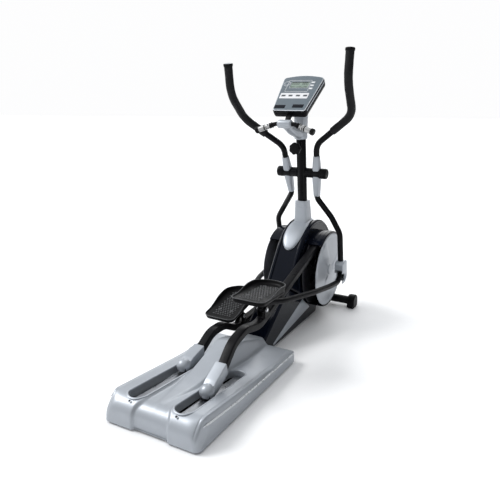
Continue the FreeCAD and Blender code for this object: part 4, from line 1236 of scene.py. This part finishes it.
def studio():
    """A wide pale floor, a soft sky that is brightest overhead, a near-white backdrop and two soft suns."""
    mesh = bpy.data.meshes.new("floor")
    mesh.from_pydata([(-60, -60, 0), (60, -60, 0), (60, 60, 0), (-60, 60, 0)], [], [(0, 1, 2, 3)])
    floor = bpy.data.objects.new("floor", mesh)
    bpy.context.scene.collection.objects.link(floor)
    floor.location.z = -0.001
    floor.data.materials.append(look("floor_paint", (0.96, 0.96, 0.965), 0.6, grain=80, bump=0.02, shift=0.01))
    world = bpy.data.worlds.new("studio")
    bpy.context.scene.world = world
    world.use_nodes = True
    tree = world.node_tree
    link = tree.links.new
    height = tree.nodes.new("ShaderNodeVectorMath")
    height.operation = "DOT_PRODUCT"
    height.inputs[1].default_value = SKY_UP
    link(tree.nodes.new("ShaderNodeTexCoord").outputs["Generated"], height.inputs[0])
    strength = add_node(tree, "ShaderNodeMapRange", From_Min=-0.2, From_Max=0.95, To_Min=0.06, To_Max=1.15)
    link(height.outputs["Value"], strength.inputs["Value"])
    dome = tree.nodes["Background"]
    dome.inputs["Color"].default_value = (0.96, 0.98, 1.0, 1)
    link(strength.outputs["Result"], dome.inputs["Strength"])
    backdrop = add_node(tree, "ShaderNodeBackground", Color=(0.985, 0.985, 0.99, 1))
    chosen = tree.nodes.new("ShaderNodeMixShader")
    link(tree.nodes.new("ShaderNodeLightPath").outputs["Is Camera Ray"], chosen.inputs[0])
    link(dome.outputs[0], chosen.inputs[1])
    link(backdrop.outputs[0], chosen.inputs[2])
    link(chosen.outputs[0], tree.nodes["World Output"].inputs["Surface"])
    bpy.context.scene.view_settings.view_transform = "Standard"
    middle = (cad_box[0] + cad_box[1]) / 2
    for name, spot, angle, energy in (("key", (-2.5, -0.9, 3.5), 0.45, 1.8), ("back", (-0.6, 3.2, 2.6), 0.7, 0.7)):
        data = bpy.data.lights.new(name, "SUN")
        data.angle = angle
        data.energy = energy
        lamp = bpy.data.objects.new(name, data)
        bpy.context.scene.collection.objects.link(lamp)
        lamp.location = spot
        lamp.rotation_euler = (middle - Vector(spot)).to_track_quat("-Z", "Y").to_euler()


def camera():
    data = bpy.data.cameras.new("camera")
    data.lens = 38.8
    data.sensor_width = 36
    data.clip_end = 50
    made = bpy.data.objects.new("camera", data)
    bpy.context.scene.collection.objects.link(made)
    yaw, pitch, roll = (math.radians(a) for a in (28.651, 15.413, 0.441))
    ahead = Vector((-math.sin(yaw) * math.cos(pitch), math.cos(yaw) * math.cos(pitch), -math.sin(pitch)))
    right = Vector((math.cos(yaw), math.sin(yaw), 0))
    up = right.cross(ahead)
    tilted = right * math.cos(roll) + up * math.sin(roll)
    above = up * math.cos(roll) - right * math.sin(roll)
    axes = Matrix((tilted, above, -ahead)).transposed().to_4x4()
    made.matrix_world = Matrix.Translation((1.3911, -2.6376, 1.4473)) @ axes
    bpy.context.scene.camera = made


studio()
camera()
